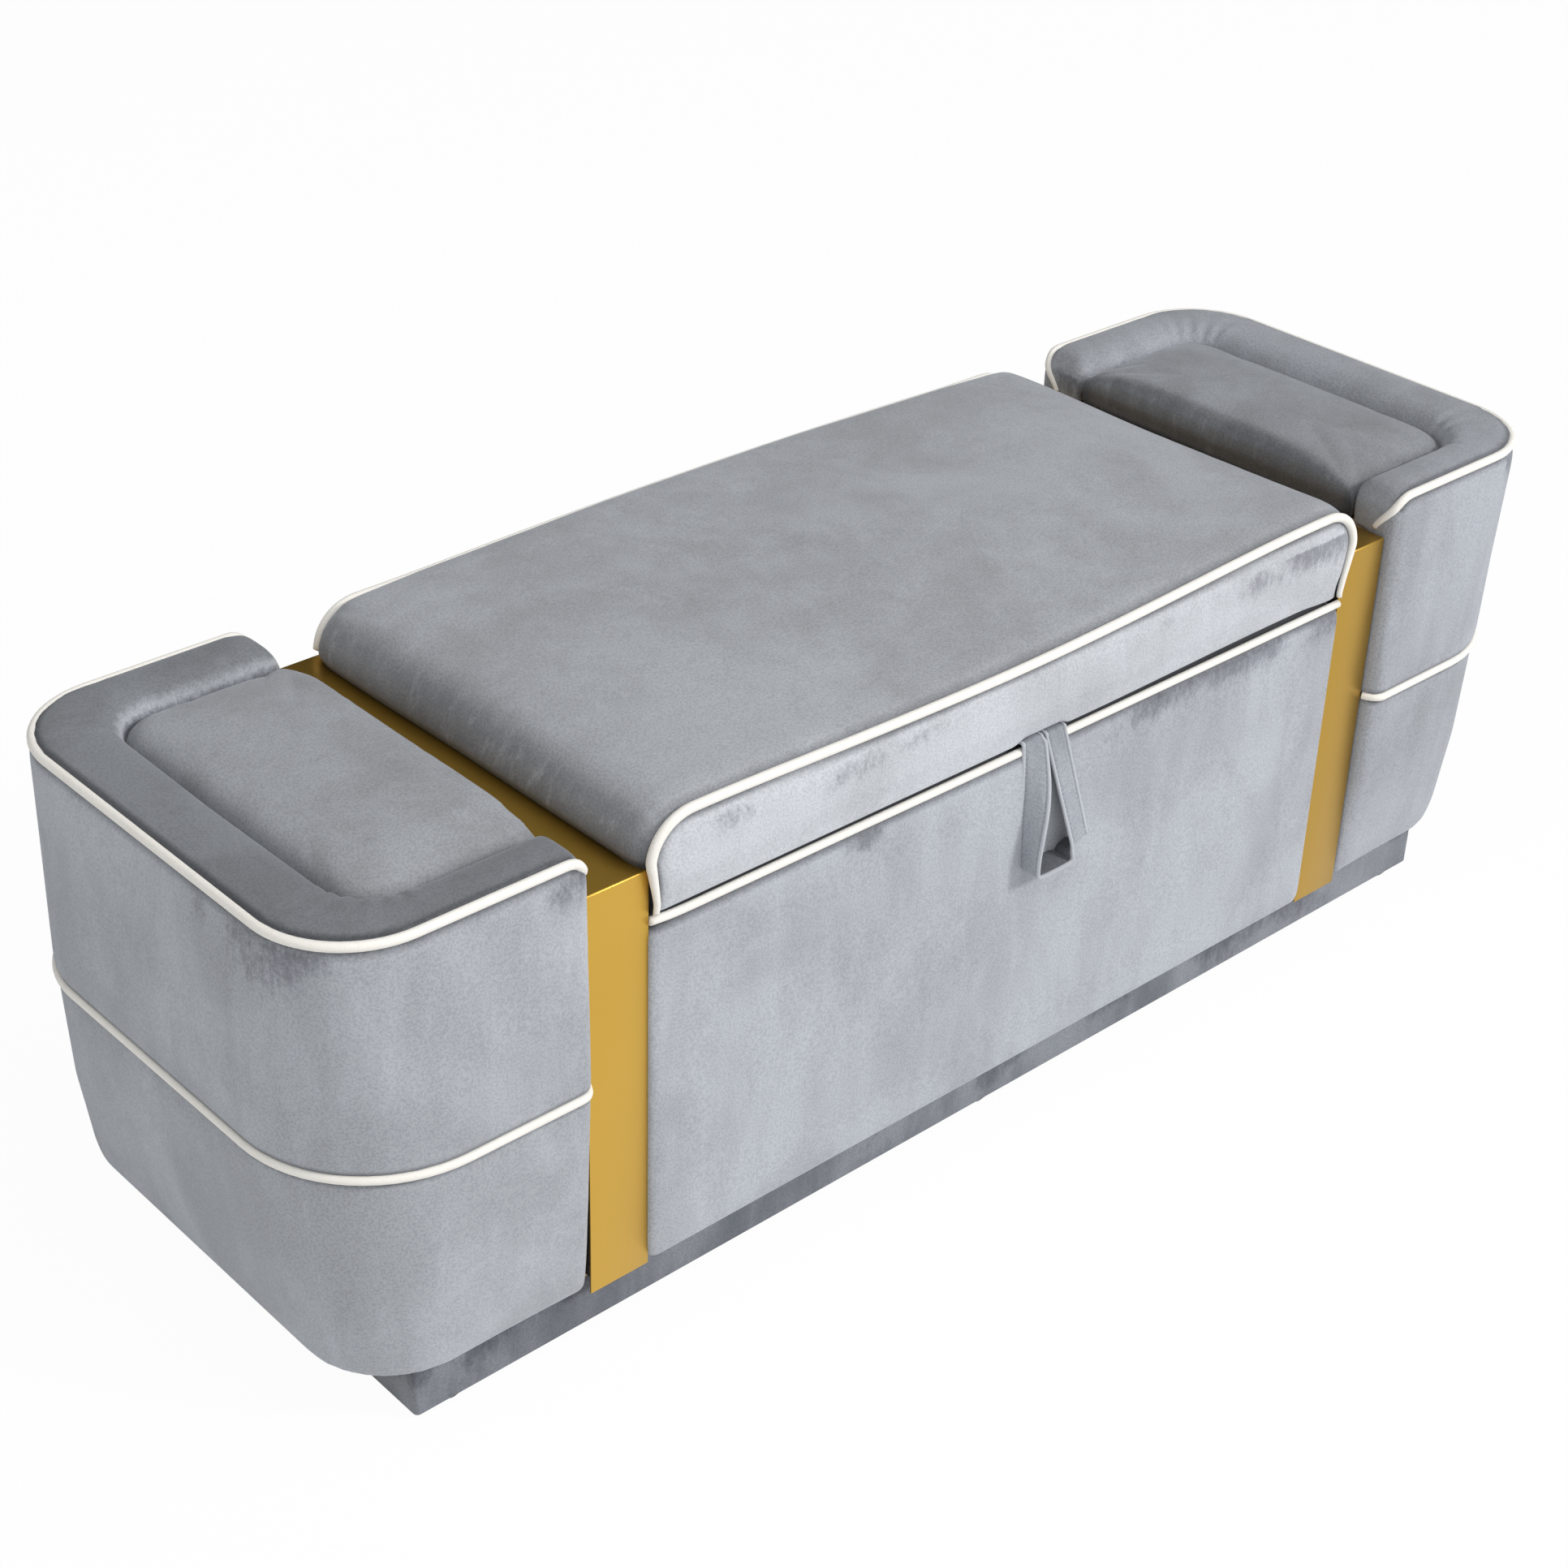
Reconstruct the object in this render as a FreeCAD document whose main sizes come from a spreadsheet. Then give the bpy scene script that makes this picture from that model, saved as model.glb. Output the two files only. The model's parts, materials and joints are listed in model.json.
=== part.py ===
import FreeCAD, Part
import math
import os

import Sketcher

# Storage ottoman bench: a storage box with a hinged, cushioned lid, a rounded upholstered arm at each
# end, and a bent metal band between the box and each arm, on a recessed plinth.
# Frame: origin on the floor under the middle, X along the bench, -Y the front, +Z up. Millimetres.

doc = FreeCAD.newDocument("storage_bench")
sheet = doc.addObject("Spreadsheet::Sheet", "dims")
Vector = FreeCAD.Vector
nodes = []


class Size:
    """A length: the formula over the sheet's cells that gives it, and its value in millimetres."""

    def __init__(self, text, value):
        self.text = text
        self.value = value

    def __add__(self, other):
        other = as_size(other)
        return Size(f"({self.text} + {other.text})", self.value + other.value)

    def __sub__(self, other):
        other = as_size(other)
        return Size(f"({self.text} - {other.text})", self.value - other.value)

    def __rsub__(self, other):
        return as_size(other) - self

    def __mul__(self, other):
        other = as_size(other)
        return Size(f"({self.text} * {other.text})", self.value * other.value)

    def __truediv__(self, other):
        other = as_size(other)
        return Size(f"({self.text} / {other.text})", self.value / other.value)

    def __neg__(self):
        return Size(f"(-{self.text})", -self.value)

    def __float__(self):
        return float(self.value)

    __radd__ = __add__
    __rmul__ = __mul__

    def root(self):
        return Size(f"sqrt({self.text})", math.sqrt(self.value))


def as_size(value):
    return value if isinstance(value, Size) else Size(f"({value:g})", float(value))


def size(name, value):
    """Writes one driving dimension into the next row of the sheet."""
    size.rows += 1
    sheet.set(f"A{size.rows}", name)
    sheet.set(f"B{size.rows}", f"{value:g}")
    sheet.setAlias(f"B{size.rows}", name)
    return Size(f"dims.{name}", float(value))


size.rows = 0

# Plinth and deck
glide_height = size("glide_height", 4)
glide_radius = size("glide_radius", 11)
glide_foot_radius = size("glide_foot_radius", 8)
glide_inset = size("glide_inset", 33)
plinth_setback = size("plinth_setback", 19)
plinth_end_setback = size("plinth_end_setback", 34)
plinth_height = size("plinth_height", 46)
plinth_corner = size("plinth_corner", 4)
plinth_cloth = size("plinth_cloth", 2)
rail_thickness = size("rail_thickness", 18)
deck_thickness = size("deck_thickness", 15)

# Storage box between the bands
box_length = size("box_length", 760)
panel_thickness = size("panel_thickness", 18)
wall_thickness = size("wall_thickness", 15)
wall_height = size("wall_height", 288)
lining_thickness = size("lining_thickness", 1)
floor_thickness = size("floor_thickness", 5)
panel_edge = size("panel_edge", 6)
panel_rise = size("panel_rise", 2)
panel_gap = size("panel_gap", 0.5)
piping_radius = size("piping_radius", 3)

# Gold bands and the timber frames they wrap
band_width = size("band_width", 54)
band_depth = size("band_depth", 398)
band_height = size("band_height", 350)
band_gauge = size("band_gauge", 1.5)
band_bend = size("band_bend", 2.5)
post_depth = size("post_depth", 40)
band_rail_height = size("band_rail_height", 30)

# Arms: the belly seam is widest, and the foot, rim, frame and well are set in from it or from the band
arm_gap = size("arm_gap", 1)
arm_length = size("arm_length", 220)
belly_swell = size("belly_swell", 12)
belly_corner = size("belly_corner", 108)
belly_back_corner = size("belly_back_corner", 88)
belly_edge = size("belly_edge", 12)
belly_height = size("belly_height", 195)
foot_tuck = size("foot_tuck", 23)
foot_side_tuck = size("foot_side_tuck", 3)
foot_corner = size("foot_corner", 76)
foot_back_corner = size("foot_back_corner", 46)
foot_edge = size("foot_edge", 10)
foot_round = size("foot_round", 9)
rim_tuck = size("rim_tuck", 4)
rim_swell = size("rim_swell", 6)
rim_corner = size("rim_corner", 74)
rim_edge = size("rim_edge", 5)
rim_height = size("rim_height", 40)
rim_cap = size("rim_cap", 25)
rim_roll = size("rim_roll", 16)
rim_end_roll = size("rim_end_roll", 22)
rim_end_width = size("rim_end_width", 58)
rim_side_width = size("rim_side_width", 44)
arm_frame_tuck = size("arm_frame_tuck", 40)
arm_frame_corner = size("arm_frame_corner", 50)
arm_board = size("arm_board", 12)
arm_board_drop = size("arm_board_drop", 2)
well_corner = size("well_corner", 40)
pad_gap = size("pad_gap", 1.5)
pad_thickness = size("pad_thickness", 30)
pad_round = size("pad_round", 16)
pad_crown = size("pad_crown", 5)
top_piping_radius = size("top_piping_radius", 3.5)
top_piping_drop = size("top_piping_drop", 3)
mid_piping_tuck = size("mid_piping_tuck", 5)

# Lid
lid_gap = size("lid_gap", 11)
lid_clearance = size("lid_clearance", 4.5)
lid_side = size("lid_side", 38)
lid_corner = size("lid_corner", 36)
lid_crown_radius = size("lid_crown_radius", 7400)
lid_front_sag_radius = size("lid_front_sag_radius", 8830)
lid_crown_setback = size("lid_crown_setback", 150)
lid_board_thickness = size("lid_board_thickness", 12)
lid_board_margin = size("lid_board_margin", 9)
dust_cloth = size("dust_cloth", 1)
dust_margin = size("dust_margin", 36)
bumper_radius = size("bumper_radius", 6)
bumper_relief = size("bumper_relief", 0.3)
bumper_inset = size("bumper_inset", 70)
bumper_spread = size("bumper_spread", 108)

# Hinges
hinge_offset = size("hinge_offset", 270)
hinge_width = size("hinge_width", 60)
hinge_leaf = size("hinge_leaf", 26)
leaf_gauge = size("leaf_gauge", 2)
barrel_radius = size("barrel_radius", 4.5)
barrel_relief = size("barrel_relief", 0.5)
knuckle_gap = size("knuckle_gap", 0.4)
pin_radius = size("pin_radius", 1.6)
running_fit = size("running_fit", 0.05)

# Folding lid stays: both links are as long as their outer pivots are far from the hinge line
stay_length = size("stay_length", 140)
stay_width = size("stay_width", 18)
stay_gauge = size("stay_gauge", 2.5)
stay_gap = size("stay_gap", 1)
stay_pin_radius = size("stay_pin_radius", 3)
stay_head_radius = size("stay_head_radius", 5)
stay_head = size("stay_head", 1.2)
stay_lid_drop = size("stay_lid_drop", 10)
stay_wall_drop = size("stay_wall_drop", 42)
bracket_gauge = size("bracket_gauge", 2)
bracket_width = size("bracket_width", 40)
bracket_flange = size("bracket_flange", 20)
bracket_margin = size("bracket_margin", 10)

# Pull strap
strap_width = size("strap_width", 24)
strap_gauge = size("strap_gauge", 2.4)
strap_offset = size("strap_offset", 10)
strap_stand = size("strap_stand", 2.3)
strap_drop = size("strap_drop", 114)
strap_split = size("strap_split", 0.4)
strap_hang = size("strap_hang", 1)
strap_opening = size("strap_opening", 31)
strap_sag = size("strap_sag", 11)
strap_sway = size("strap_sway", 3.5)
strap_tab = size("strap_tab", 34)
tab_relief = size("tab_relief", 1.9)
clamp_length = size("clamp_length", 62)
clamp_width = size("clamp_width", 18)
clamp_gauge = size("clamp_gauge", 2)
clamp_setback = size("clamp_setback", 10)

doc.recompute()

# Heights and half sizes that several pieces share
deck_z = glide_height + plinth_height
deck_top = deck_z + deck_thickness
wall_top = deck_top + wall_height
band_top = deck_z + band_height
half_box = box_length / 2
band_outer = half_box + band_width
band_half = band_depth / 2
frame_half = band_half - panel_thickness
arm_inner = band_outer + arm_gap
foot_reach = arm_length - foot_tuck
foot_half = band_half - foot_side_tuck
belly_half = band_half + belly_swell
rim_reach = arm_length - rim_tuck
rim_half = band_half + rim_swell
well_reach = rim_reach - rim_end_width
well_half = rim_half - rim_side_width
arm_frame_reach = arm_length - arm_frame_tuck
frame_end = band_outer + arm_frame_reach
belly_z = deck_z + belly_height
arm_top = band_top - arm_board_drop
rim_top = band_top + rim_height
rim_seam = rim_top - top_piping_drop
lid_z = wall_top + lid_gap
lid_half = half_box - lid_clearance
hinge_y = band_half + barrel_radius + barrel_relief
hinge_z = wall_top + lid_gap / 2


def place(thing, at):
    for axis, value in zip("xyz", at):
        thing.setExpression(f"Placement.Base.{axis}", as_size(value).text)


def keep(thing):
    """Marks an object of the document as one finished piece of the bench."""
    nodes.append(thing)
    return thing


def block(label, low, high):
    thing = doc.addObject("Part::Box", label)
    for name, start, stop in zip(("Length", "Width", "Height"), low, high):
        thing.setExpression(name, (as_size(stop) - start).text)
    place(thing, low)
    return thing


def rod(label, start, radius, length, axis):
    """A cylinder from start along +X, +Y or +Z."""
    thing = doc.addObject("Part::Cylinder", label)
    thing.setExpression("Radius", as_size(radius).text)
    thing.setExpression("Height", as_size(length).text)
    turns = {"X": (Vector(0, 1, 0), 90), "Y": (Vector(1, 0, 0), -90), "Z": (Vector(0, 0, 1), 0)}
    thing.Placement.Rotation = FreeCAD.Rotation(*turns[axis])
    place(thing, start)
    return thing


def group(label, members):
    thing = doc.addObject("Part::Compound", label)
    thing.Links = members
    return thing


def fuse(label, members):
    thing = doc.addObject("Part::MultiFuse", label)
    thing.Shapes = members
    return thing


def cut(label, base, *tools):
    for number, tool in enumerate(tools):
        last = number == len(tools) - 1
        thing = doc.addObject("Part::Cut", label if last else f"{label}_cut_{number}")
        thing.Base = base
        thing.Tool = tool
        base = thing
    return base


def feature(label, shape):
    thing = doc.addObject("Part::Feature", label)
    thing.Shape = shape
    return thing


def arc_edge(start, stop, radius):
    """Arc that bulges to the right of the way from start to stop, or to the left if radius is below 0."""
    middle = (start + stop) * 0.5
    along = stop - start
    right = Vector(along.y, -along.x, 0).normalize()
    rise = math.sqrt(max(radius * radius - along.Length ** 2 / 4, 0))
    centre = middle - right * math.copysign(rise, radius)
    ends = (start, stop) if radius > 0 else (stop, start)
    angles = [math.atan2(end.y - centre.y, end.x - centre.x) for end in ends]
    circle = Part.Circle(centre, Vector(0, 0, 1), abs(radius))
    return Part.ArcOfCircle(circle, *angles)


def tie(sketch, spot, u, v):
    """Ties a point of the sketch's geometry to its distances from the sketch's origin."""
    for kind, axis, value in (("DistanceX", -2, u), ("DistanceY", -1, v)):
        if abs(float(value)) < 1e-9:
            sketch.addConstraint(Sketcher.Constraint("PointOnObject", *spot, axis))
        else:
            number = sketch.addConstraint(Sketcher.Constraint(kind, -1, 1, *spot, float(value)))
            sketch.setExpression(f"Constraints[{number}]", as_size(value).text)


def tie_radius(sketch, index, radius):
    number = sketch.addConstraint(Sketcher.Constraint("Radius", index, float(radius)))
    sketch.setExpression(f"Constraints[{number}]", radius.text)


def draw(sketch, points):
    """Adds a closed outline. Each point is (u, v, bend), bend being the radius of the arc to the next."""
    first = sketch.GeometryCount
    spots = [Vector(float(u), float(v), 0) for u, v, bend in points]
    count = len(points)
    ends = []
    for i, (u, v, bend) in enumerate(points):
        start, stop = spots[i], spots[(i + 1) % count]
        if bend is None:
            sketch.addGeometry(Part.LineSegment(start, stop), False)
        else:
            sketch.addGeometry(arc_edge(start, stop, float(bend)), False)
        ends.append((2, 1) if bend is not None and float(bend) < 0 else (1, 2))
    for i, (u, v, bend) in enumerate(points):
        after = (i + 1) % count
        sketch.addConstraint(
            Sketcher.Constraint("Coincident", first + i, ends[i][1], first + after, ends[after][0]))
        tie(sketch, (first + i, ends[i][0]), u, v)
        if bend is not None:
            tie_radius(sketch, first + i, bend if float(bend) > 0 else -bend)


def padded(label, plane, outlines, depth, at, holes=()):
    """A body padded from outlines on one of its origin planes, with round holes (u, v, radius)."""
    body = doc.addObject("PartDesign::Body", label)
    sketch = body.newObject("Sketcher::SketchObject", label + "_outline")
    face = next(f for f in body.Origin.OriginFeatures if f.Role == plane)
    sketch.AttachmentSupport = (face, "")
    sketch.MapMode = "FlatFace"
    for points in outlines:
        draw(sketch, points)
    for u, v, radius in holes:
        ring = Part.Circle(Vector(float(u), float(v), 0), Vector(0, 0, 1), float(radius))
        index = sketch.addGeometry(ring, False)
        tie(sketch, (index, 3), u, v)
        tie_radius(sketch, index, radius)
    pad = body.newObject("PartDesign::Pad", label + "_pad")
    pad.Profile = sketch
    pad.setExpression("Length", depth.text)
    place(body, at)
    return body


def rectangle(half_u, half_v):
    return [(-half_u, -half_v, None), (half_u, -half_v, None),
            (half_u, half_v, None), (-half_u, half_v, None)]


def rounded_rectangle(half_u, half_v, corner):
    return [(corner - half_u, -half_v, None), (half_u - corner, -half_v, corner),
            (half_u, corner - half_v, None), (half_u, half_v - corner, corner),
            (half_u - corner, half_v, None), (corner - half_u, half_v, corner),
            (-half_u, half_v - corner, None), (-half_u, corner - half_v, corner)]


def round_edges(body, radius, chosen):
    """Fillets the body's edges that the function chosen picks."""
    doc.recompute()
    base = body.Tip
    names = [f"Edge{i + 1}" for i, edge in enumerate(base.Shape.Edges) if chosen(edge)]
    fillet = body.newObject("PartDesign::Fillet", body.Name + "_round")
    fillet.Base = (base, names)
    fillet.setExpression("Radius", radius.text)


def tube(edges, start, heading, radius):
    """A round cord along straight runs and tangent arcs."""
    path = Part.Wire(edges)
    ring = Part.Wire(Part.makeCircle(float(radius), start, heading))
    return path.makePipeShell([ring], True, False)


def across_bench(sign, outer, inner):
    """Low and high X of a layer between two distances from the middle, on one side."""
    return (inner, outer) if sign > 0 else (-outer, -inner)


# Plinth: two long rails, four cross rails, a cloth sleeve, and glides under the rails
half_plinth = frame_end - plinth_end_setback
half_plinth_depth = band_half - plinth_setback
rail_end = half_plinth - plinth_cloth
rail_front = half_plinth_depth - plinth_cloth
for place_name, sign in (("front", -1), ("back", 1)):
    inner = rail_front - rail_thickness
    low_y, high_y = (-rail_front, -inner) if sign < 0 else (inner, rail_front)
    keep(block(f"plinth_{place_name}_rail", (-rail_end, low_y, glide_height), (rail_end, high_y, deck_z)))

cross_rails = []
cross_places = (-rail_end, -half_box, half_box - rail_thickness, rail_end - rail_thickness)
for number, x in enumerate(cross_places):
    low = (x, rail_thickness - rail_front, glide_height)
    high = (x + rail_thickness, rail_front - rail_thickness, deck_z)
    cross_rails.append(block(f"cross_rail_{number}", low, high))
keep(group("plinth_cross_rails", cross_rails))

keep(padded("plinth_cover", "XY_Plane",
            [rounded_rectangle(half_plinth, half_plinth_depth, plinth_corner),
             rectangle(rail_end, rail_front)],
            plinth_height, (0, 0, glide_height)))

glides = []
glide_y = rail_front - rail_thickness / 2
for number, (x, y) in enumerate((x, y) for x in (-1, 0, 1) for y in (-1, 1)):
    glide = doc.addObject("Part::Cone", f"glide_{number}")
    glide.setExpression("Radius1", glide_foot_radius.text)
    glide.setExpression("Radius2", glide_radius.text)
    glide.setExpression("Height", glide_height.text)
    place(glide, ((rail_end - glide_inset) * x, glide_y * y, 0))
    glides.append(glide)
keep(group("glides", glides))

keep(padded("base_deck", "XY_Plane", [rounded_rectangle(frame_end, frame_half, arm_frame_corner)],
            deck_thickness, (0, 0, deck_z)))

# Storage box: four walls on the deck, a floor panel and a thin lining
inner_half = half_box - wall_thickness
inner_depth_half = frame_half - wall_thickness
keep(block("storage_front_wall", (-half_box, -frame_half, deck_top),
           (half_box, -inner_depth_half, wall_top)))
keep(block("storage_back_wall", (-half_box, inner_depth_half, deck_top),
           (half_box, frame_half, wall_top)))
keep(block("storage_left_wall", (-half_box, -inner_depth_half, deck_top),
           (-inner_half, inner_depth_half, wall_top)))
keep(block("storage_right_wall", (inner_half, -inner_depth_half, deck_top),
           (half_box, inner_depth_half, wall_top)))
keep(padded("storage_lining", "XY_Plane",
            [rectangle(inner_half, inner_depth_half),
             rectangle(inner_half - lining_thickness, inner_depth_half - lining_thickness)],
            wall_height, (0, 0, deck_top)))
floor_half = (inner_half - lining_thickness, inner_depth_half - lining_thickness)
keep(padded("storage_floor", "XY_Plane", [rectangle(*floor_half)], floor_thickness, (0, 0, deck_top)))

# Padded panels on the front and back walls, with piping along the front one's top edge
panel_half = half_box - panel_gap
panel_top = wall_top + panel_rise


def panel(label, start_y, top, shown):
    """A padded panel from start_y forwards, with soft edges round its face at local depth shown."""
    height = top - deck_z
    outline = [(-panel_half, 0, None), (panel_half, 0, None),
               (panel_half, height, None), (-panel_half, height, None)]
    body = padded(label, "XZ_Plane", [outline], panel_thickness, (0, start_y, deck_z))

    def shows(edge):
        spots = [vertex.Point for vertex in edge.Vertexes]
        on_face = all(abs(spot.y - float(shown)) < 0.01 for spot in spots)
        along_top = all(spot.z > float(height) - 0.01 for spot in spots)
        return on_face and not along_top

    round_edges(body, panel_edge, shows)
    return body


front_cord = rod("front_panel_piping", (-panel_half, piping_radius - band_half, panel_top),
                 piping_radius, panel_half * 2, "X")
front_pad = panel("front_panel_slab", -frame_half, panel_top, -panel_thickness)
keep(cut("front_panel_pad", front_pad, front_cord))
keep(front_cord)
keep(panel("back_panel_pad", band_half, wall_top, as_size(0)))

# Gold bands, each over a timber frame of two posts and a top rail
for side, sign in (("left", -1), ("right", 1)):
    low_x, high_x = across_bench(sign, band_outer, half_box)
    core_half = band_half - band_gauge
    core_top = band_top - band_gauge
    rail_z = core_top - band_rail_height
    timbers = [
        block(f"{side}_front_post", (low_x, -core_half, deck_top),
              (high_x, post_depth - core_half, rail_z)),
        block(f"{side}_back_post", (low_x, core_half - post_depth, deck_top),
              (high_x, core_half, rail_z)),
        block(f"{side}_band_rail", (low_x, -core_half, rail_z), (high_x, core_half, core_top)),
    ]
    keep(group(f"{side}_band_frame", timbers))
    sheet_outline = [
        (0, 0, None), (band_gauge, 0, None), (band_gauge, band_height - band_gauge, None),
        (band_depth - band_gauge, band_height - band_gauge, None), (band_depth - band_gauge, 0, None),
        (band_depth, 0, None), (band_depth, band_height - band_bend, band_bend),
        (band_depth - band_bend, band_height, None), (band_bend, band_height, band_bend),
        (0, band_height - band_bend, None),
    ]
    keep(padded(f"{side}_band", "YZ_Plane", [sheet_outline], band_width, (low_x, -band_half, deck_z)))


# Arms: a board frame, covers of foam and velvet, piping, a rim on three sides and an inset pad
def arm_wire(side, z, reach, half_depth, corner, back_corner, edge, inner=None):
    """Outline of an arm at height z, open at the band: eased edges beside it and round outer corners."""
    inner_x = float(inner or arm_inner)
    end_x = float(band_outer) + reach
    rounds = [
        ((inner_x, edge - half_depth), (inner_x + edge, -half_depth), (inner_x, -1), edge),
        ((end_x - corner, -half_depth), (end_x, corner - half_depth), (end_x, -1), corner),
        ((end_x, half_depth - back_corner), (end_x - back_corner, half_depth), (end_x, 1), back_corner),
        ((inner_x + edge, half_depth), (inner_x, half_depth - edge), (inner_x, 1), edge),
    ]
    edges = []
    last = None
    for before, after, (tip_x, way), radius in rounds:
        start = Vector(side * before[0], before[1], z)
        stop = Vector(side * after[0], after[1], z)
        if last is not None:
            edges.append(Part.LineSegment(last, start).toShape())
        if radius > 0:
            inward = radius * (1 - math.sqrt(0.5))
            toward = -inward if tip_x > inner_x else inward
            middle = Vector(side * (tip_x + toward), way * (half_depth - inward), z)
            edges.append(Part.Arc(start, middle, stop).toShape())
        last = stop
    first = Vector(side * rounds[0][0][0], rounds[0][0][1], z)
    return edges, first, last


def closed_wire(*shape):
    edges, front, back = arm_wire(*shape)
    return Part.Wire(edges + [Part.LineSegment(back, front).toShape()])


def prism(wire, height):
    return Part.Face(wire).extrude(Vector(0, 0, float(height)))


def between(low, high, share):
    return [a + (b - a) * share for a, b in zip(low, high)]


# Shares of a corner's size: how far up the cover, and how far in from its full outline
FOOT_CURVE = ((0, 1), (0.3, 0.28), (1.3, 0))
PAD_FOOT_CURVE = ((0, 0.35), (0.6, 0))
PAD_TOP_CURVE = ((-0.8, 0.08), (-0.25, 0.5), (0, 1.4))
PAD_CROWN_INSET = 3.2
# Share of the change in outline that a cover has made half-way up
LOWER_SWELL = 0.72
UPPER_SWELL = 0.34
# How far round the roll at the rim's ends its piping goes
CORD_END = math.radians(50)

# Each outline of an arm: reach, half depth, front corner, back corner, edge beside the band
foot = [float(v) for v in (foot_reach, foot_half, foot_corner, foot_back_corner, foot_edge)]
belly = [float(v) for v in (arm_length, belly_half, belly_corner, belly_back_corner, belly_edge)]
rim = [float(v) for v in (rim_reach, rim_half, rim_corner, rim_corner, rim_edge)]
frame = [float(v) for v in (arm_frame_reach, frame_half, arm_frame_corner, arm_frame_corner, 0)]
well = [float(v) for v in (well_reach, well_half, well_corner, well_corner, 0)]


def inset(shape, by):
    reach, half_depth, corner, back_corner, edge = shape
    return [reach - by, half_depth - by, max(corner - by, 1.0), max(back_corner - by, 1.0),
            max(edge - by, 1.0) if edge else 0.0]


def arm_boards(side, sign):
    """The hidden frame: front, back and end boards, bent corner posts and a top board."""
    board_top = arm_top - arm_board
    turn_x = frame_end - arm_frame_corner
    turn_y = frame_half - arm_frame_corner

    low_x, high_x = across_bench(sign, turn_x, arm_inner)
    keep(block(f"{side}_arm_front_board", (low_x, -frame_half, deck_top),
               (high_x, arm_board - frame_half, board_top)))
    keep(block(f"{side}_arm_back_board", (low_x, frame_half - arm_board, deck_top),
               (high_x, frame_half, board_top)))
    low_x, high_x = across_bench(sign, frame_end, frame_end - arm_board)
    keep(block(f"{side}_arm_end_board", (low_x, -turn_y, deck_top), (high_x, turn_y, board_top)))
    bends = []
    inner_bend = arm_frame_corner - arm_board
    for name, way in (("front", -1), ("back", 1)):
        # A quarter ring, drawn from its centre towards the outer corner of the frame
        ring = [(arm_frame_corner * sign, 0), (0, arm_frame_corner * way),
                (0, inner_bend * way), (inner_bend * sign, 0)]
        radii = [arm_frame_corner, None, -inner_bend, None]
        if sign * way < 0:
            ring = [ring[1], ring[0], ring[3], ring[2]]
        outline = [(u, v, bend) for (u, v), bend in zip(ring, radii)]
        bends.append(padded(f"{side}_{name}_bend", "XY_Plane", [outline], board_top - deck_top,
                            (turn_x * sign, turn_y * way, deck_top)))
    keep(group(f"{side}_arm_corner_posts", bends))
    top_wire = closed_wire(sign, float(board_top), *frame)
    keep(feature(f"{side}_arm_top_board", prism(top_wire, arm_board)))


def top_cord(sign):
    """Path of the piping on the rim's outer edge, which starts and ends on the roll of the rim's ends."""
    seam = float(rim_seam)
    roll = float(rim_end_roll)
    edges, front, back = arm_wire(sign, seam, *rim)
    front_corner, end, back_corner = edges[2:5]

    def on_roll(y, angle):
        centre = Vector(front.x + sign * roll, y, seam - roll)
        return centre + Vector(-sign * math.sin(angle), 0, math.cos(angle)) * roll

    def roll_arc(y, *angles):
        return Part.Arc(*[on_roll(y, angle) for angle in angles]).toShape()

    half = rim[1]
    turn_x = sign * float(band_outer + rim_reach - rim_corner)
    path = [roll_arc(-half, CORD_END, CORD_END / 2, 0),
            Part.LineSegment(on_roll(-half, 0), Vector(turn_x, -half, seam)).toShape(),
            front_corner, end, back_corner,
            Part.LineSegment(Vector(turn_x, half, seam), on_roll(half, 0)).toShape(),
            roll_arc(half, 0, CORD_END / 2, CORD_END)]
    heading = Vector(sign * math.cos(CORD_END), 0, math.sin(CORD_END))
    return tube(path, on_roll(-half, CORD_END), heading, top_piping_radius)


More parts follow.
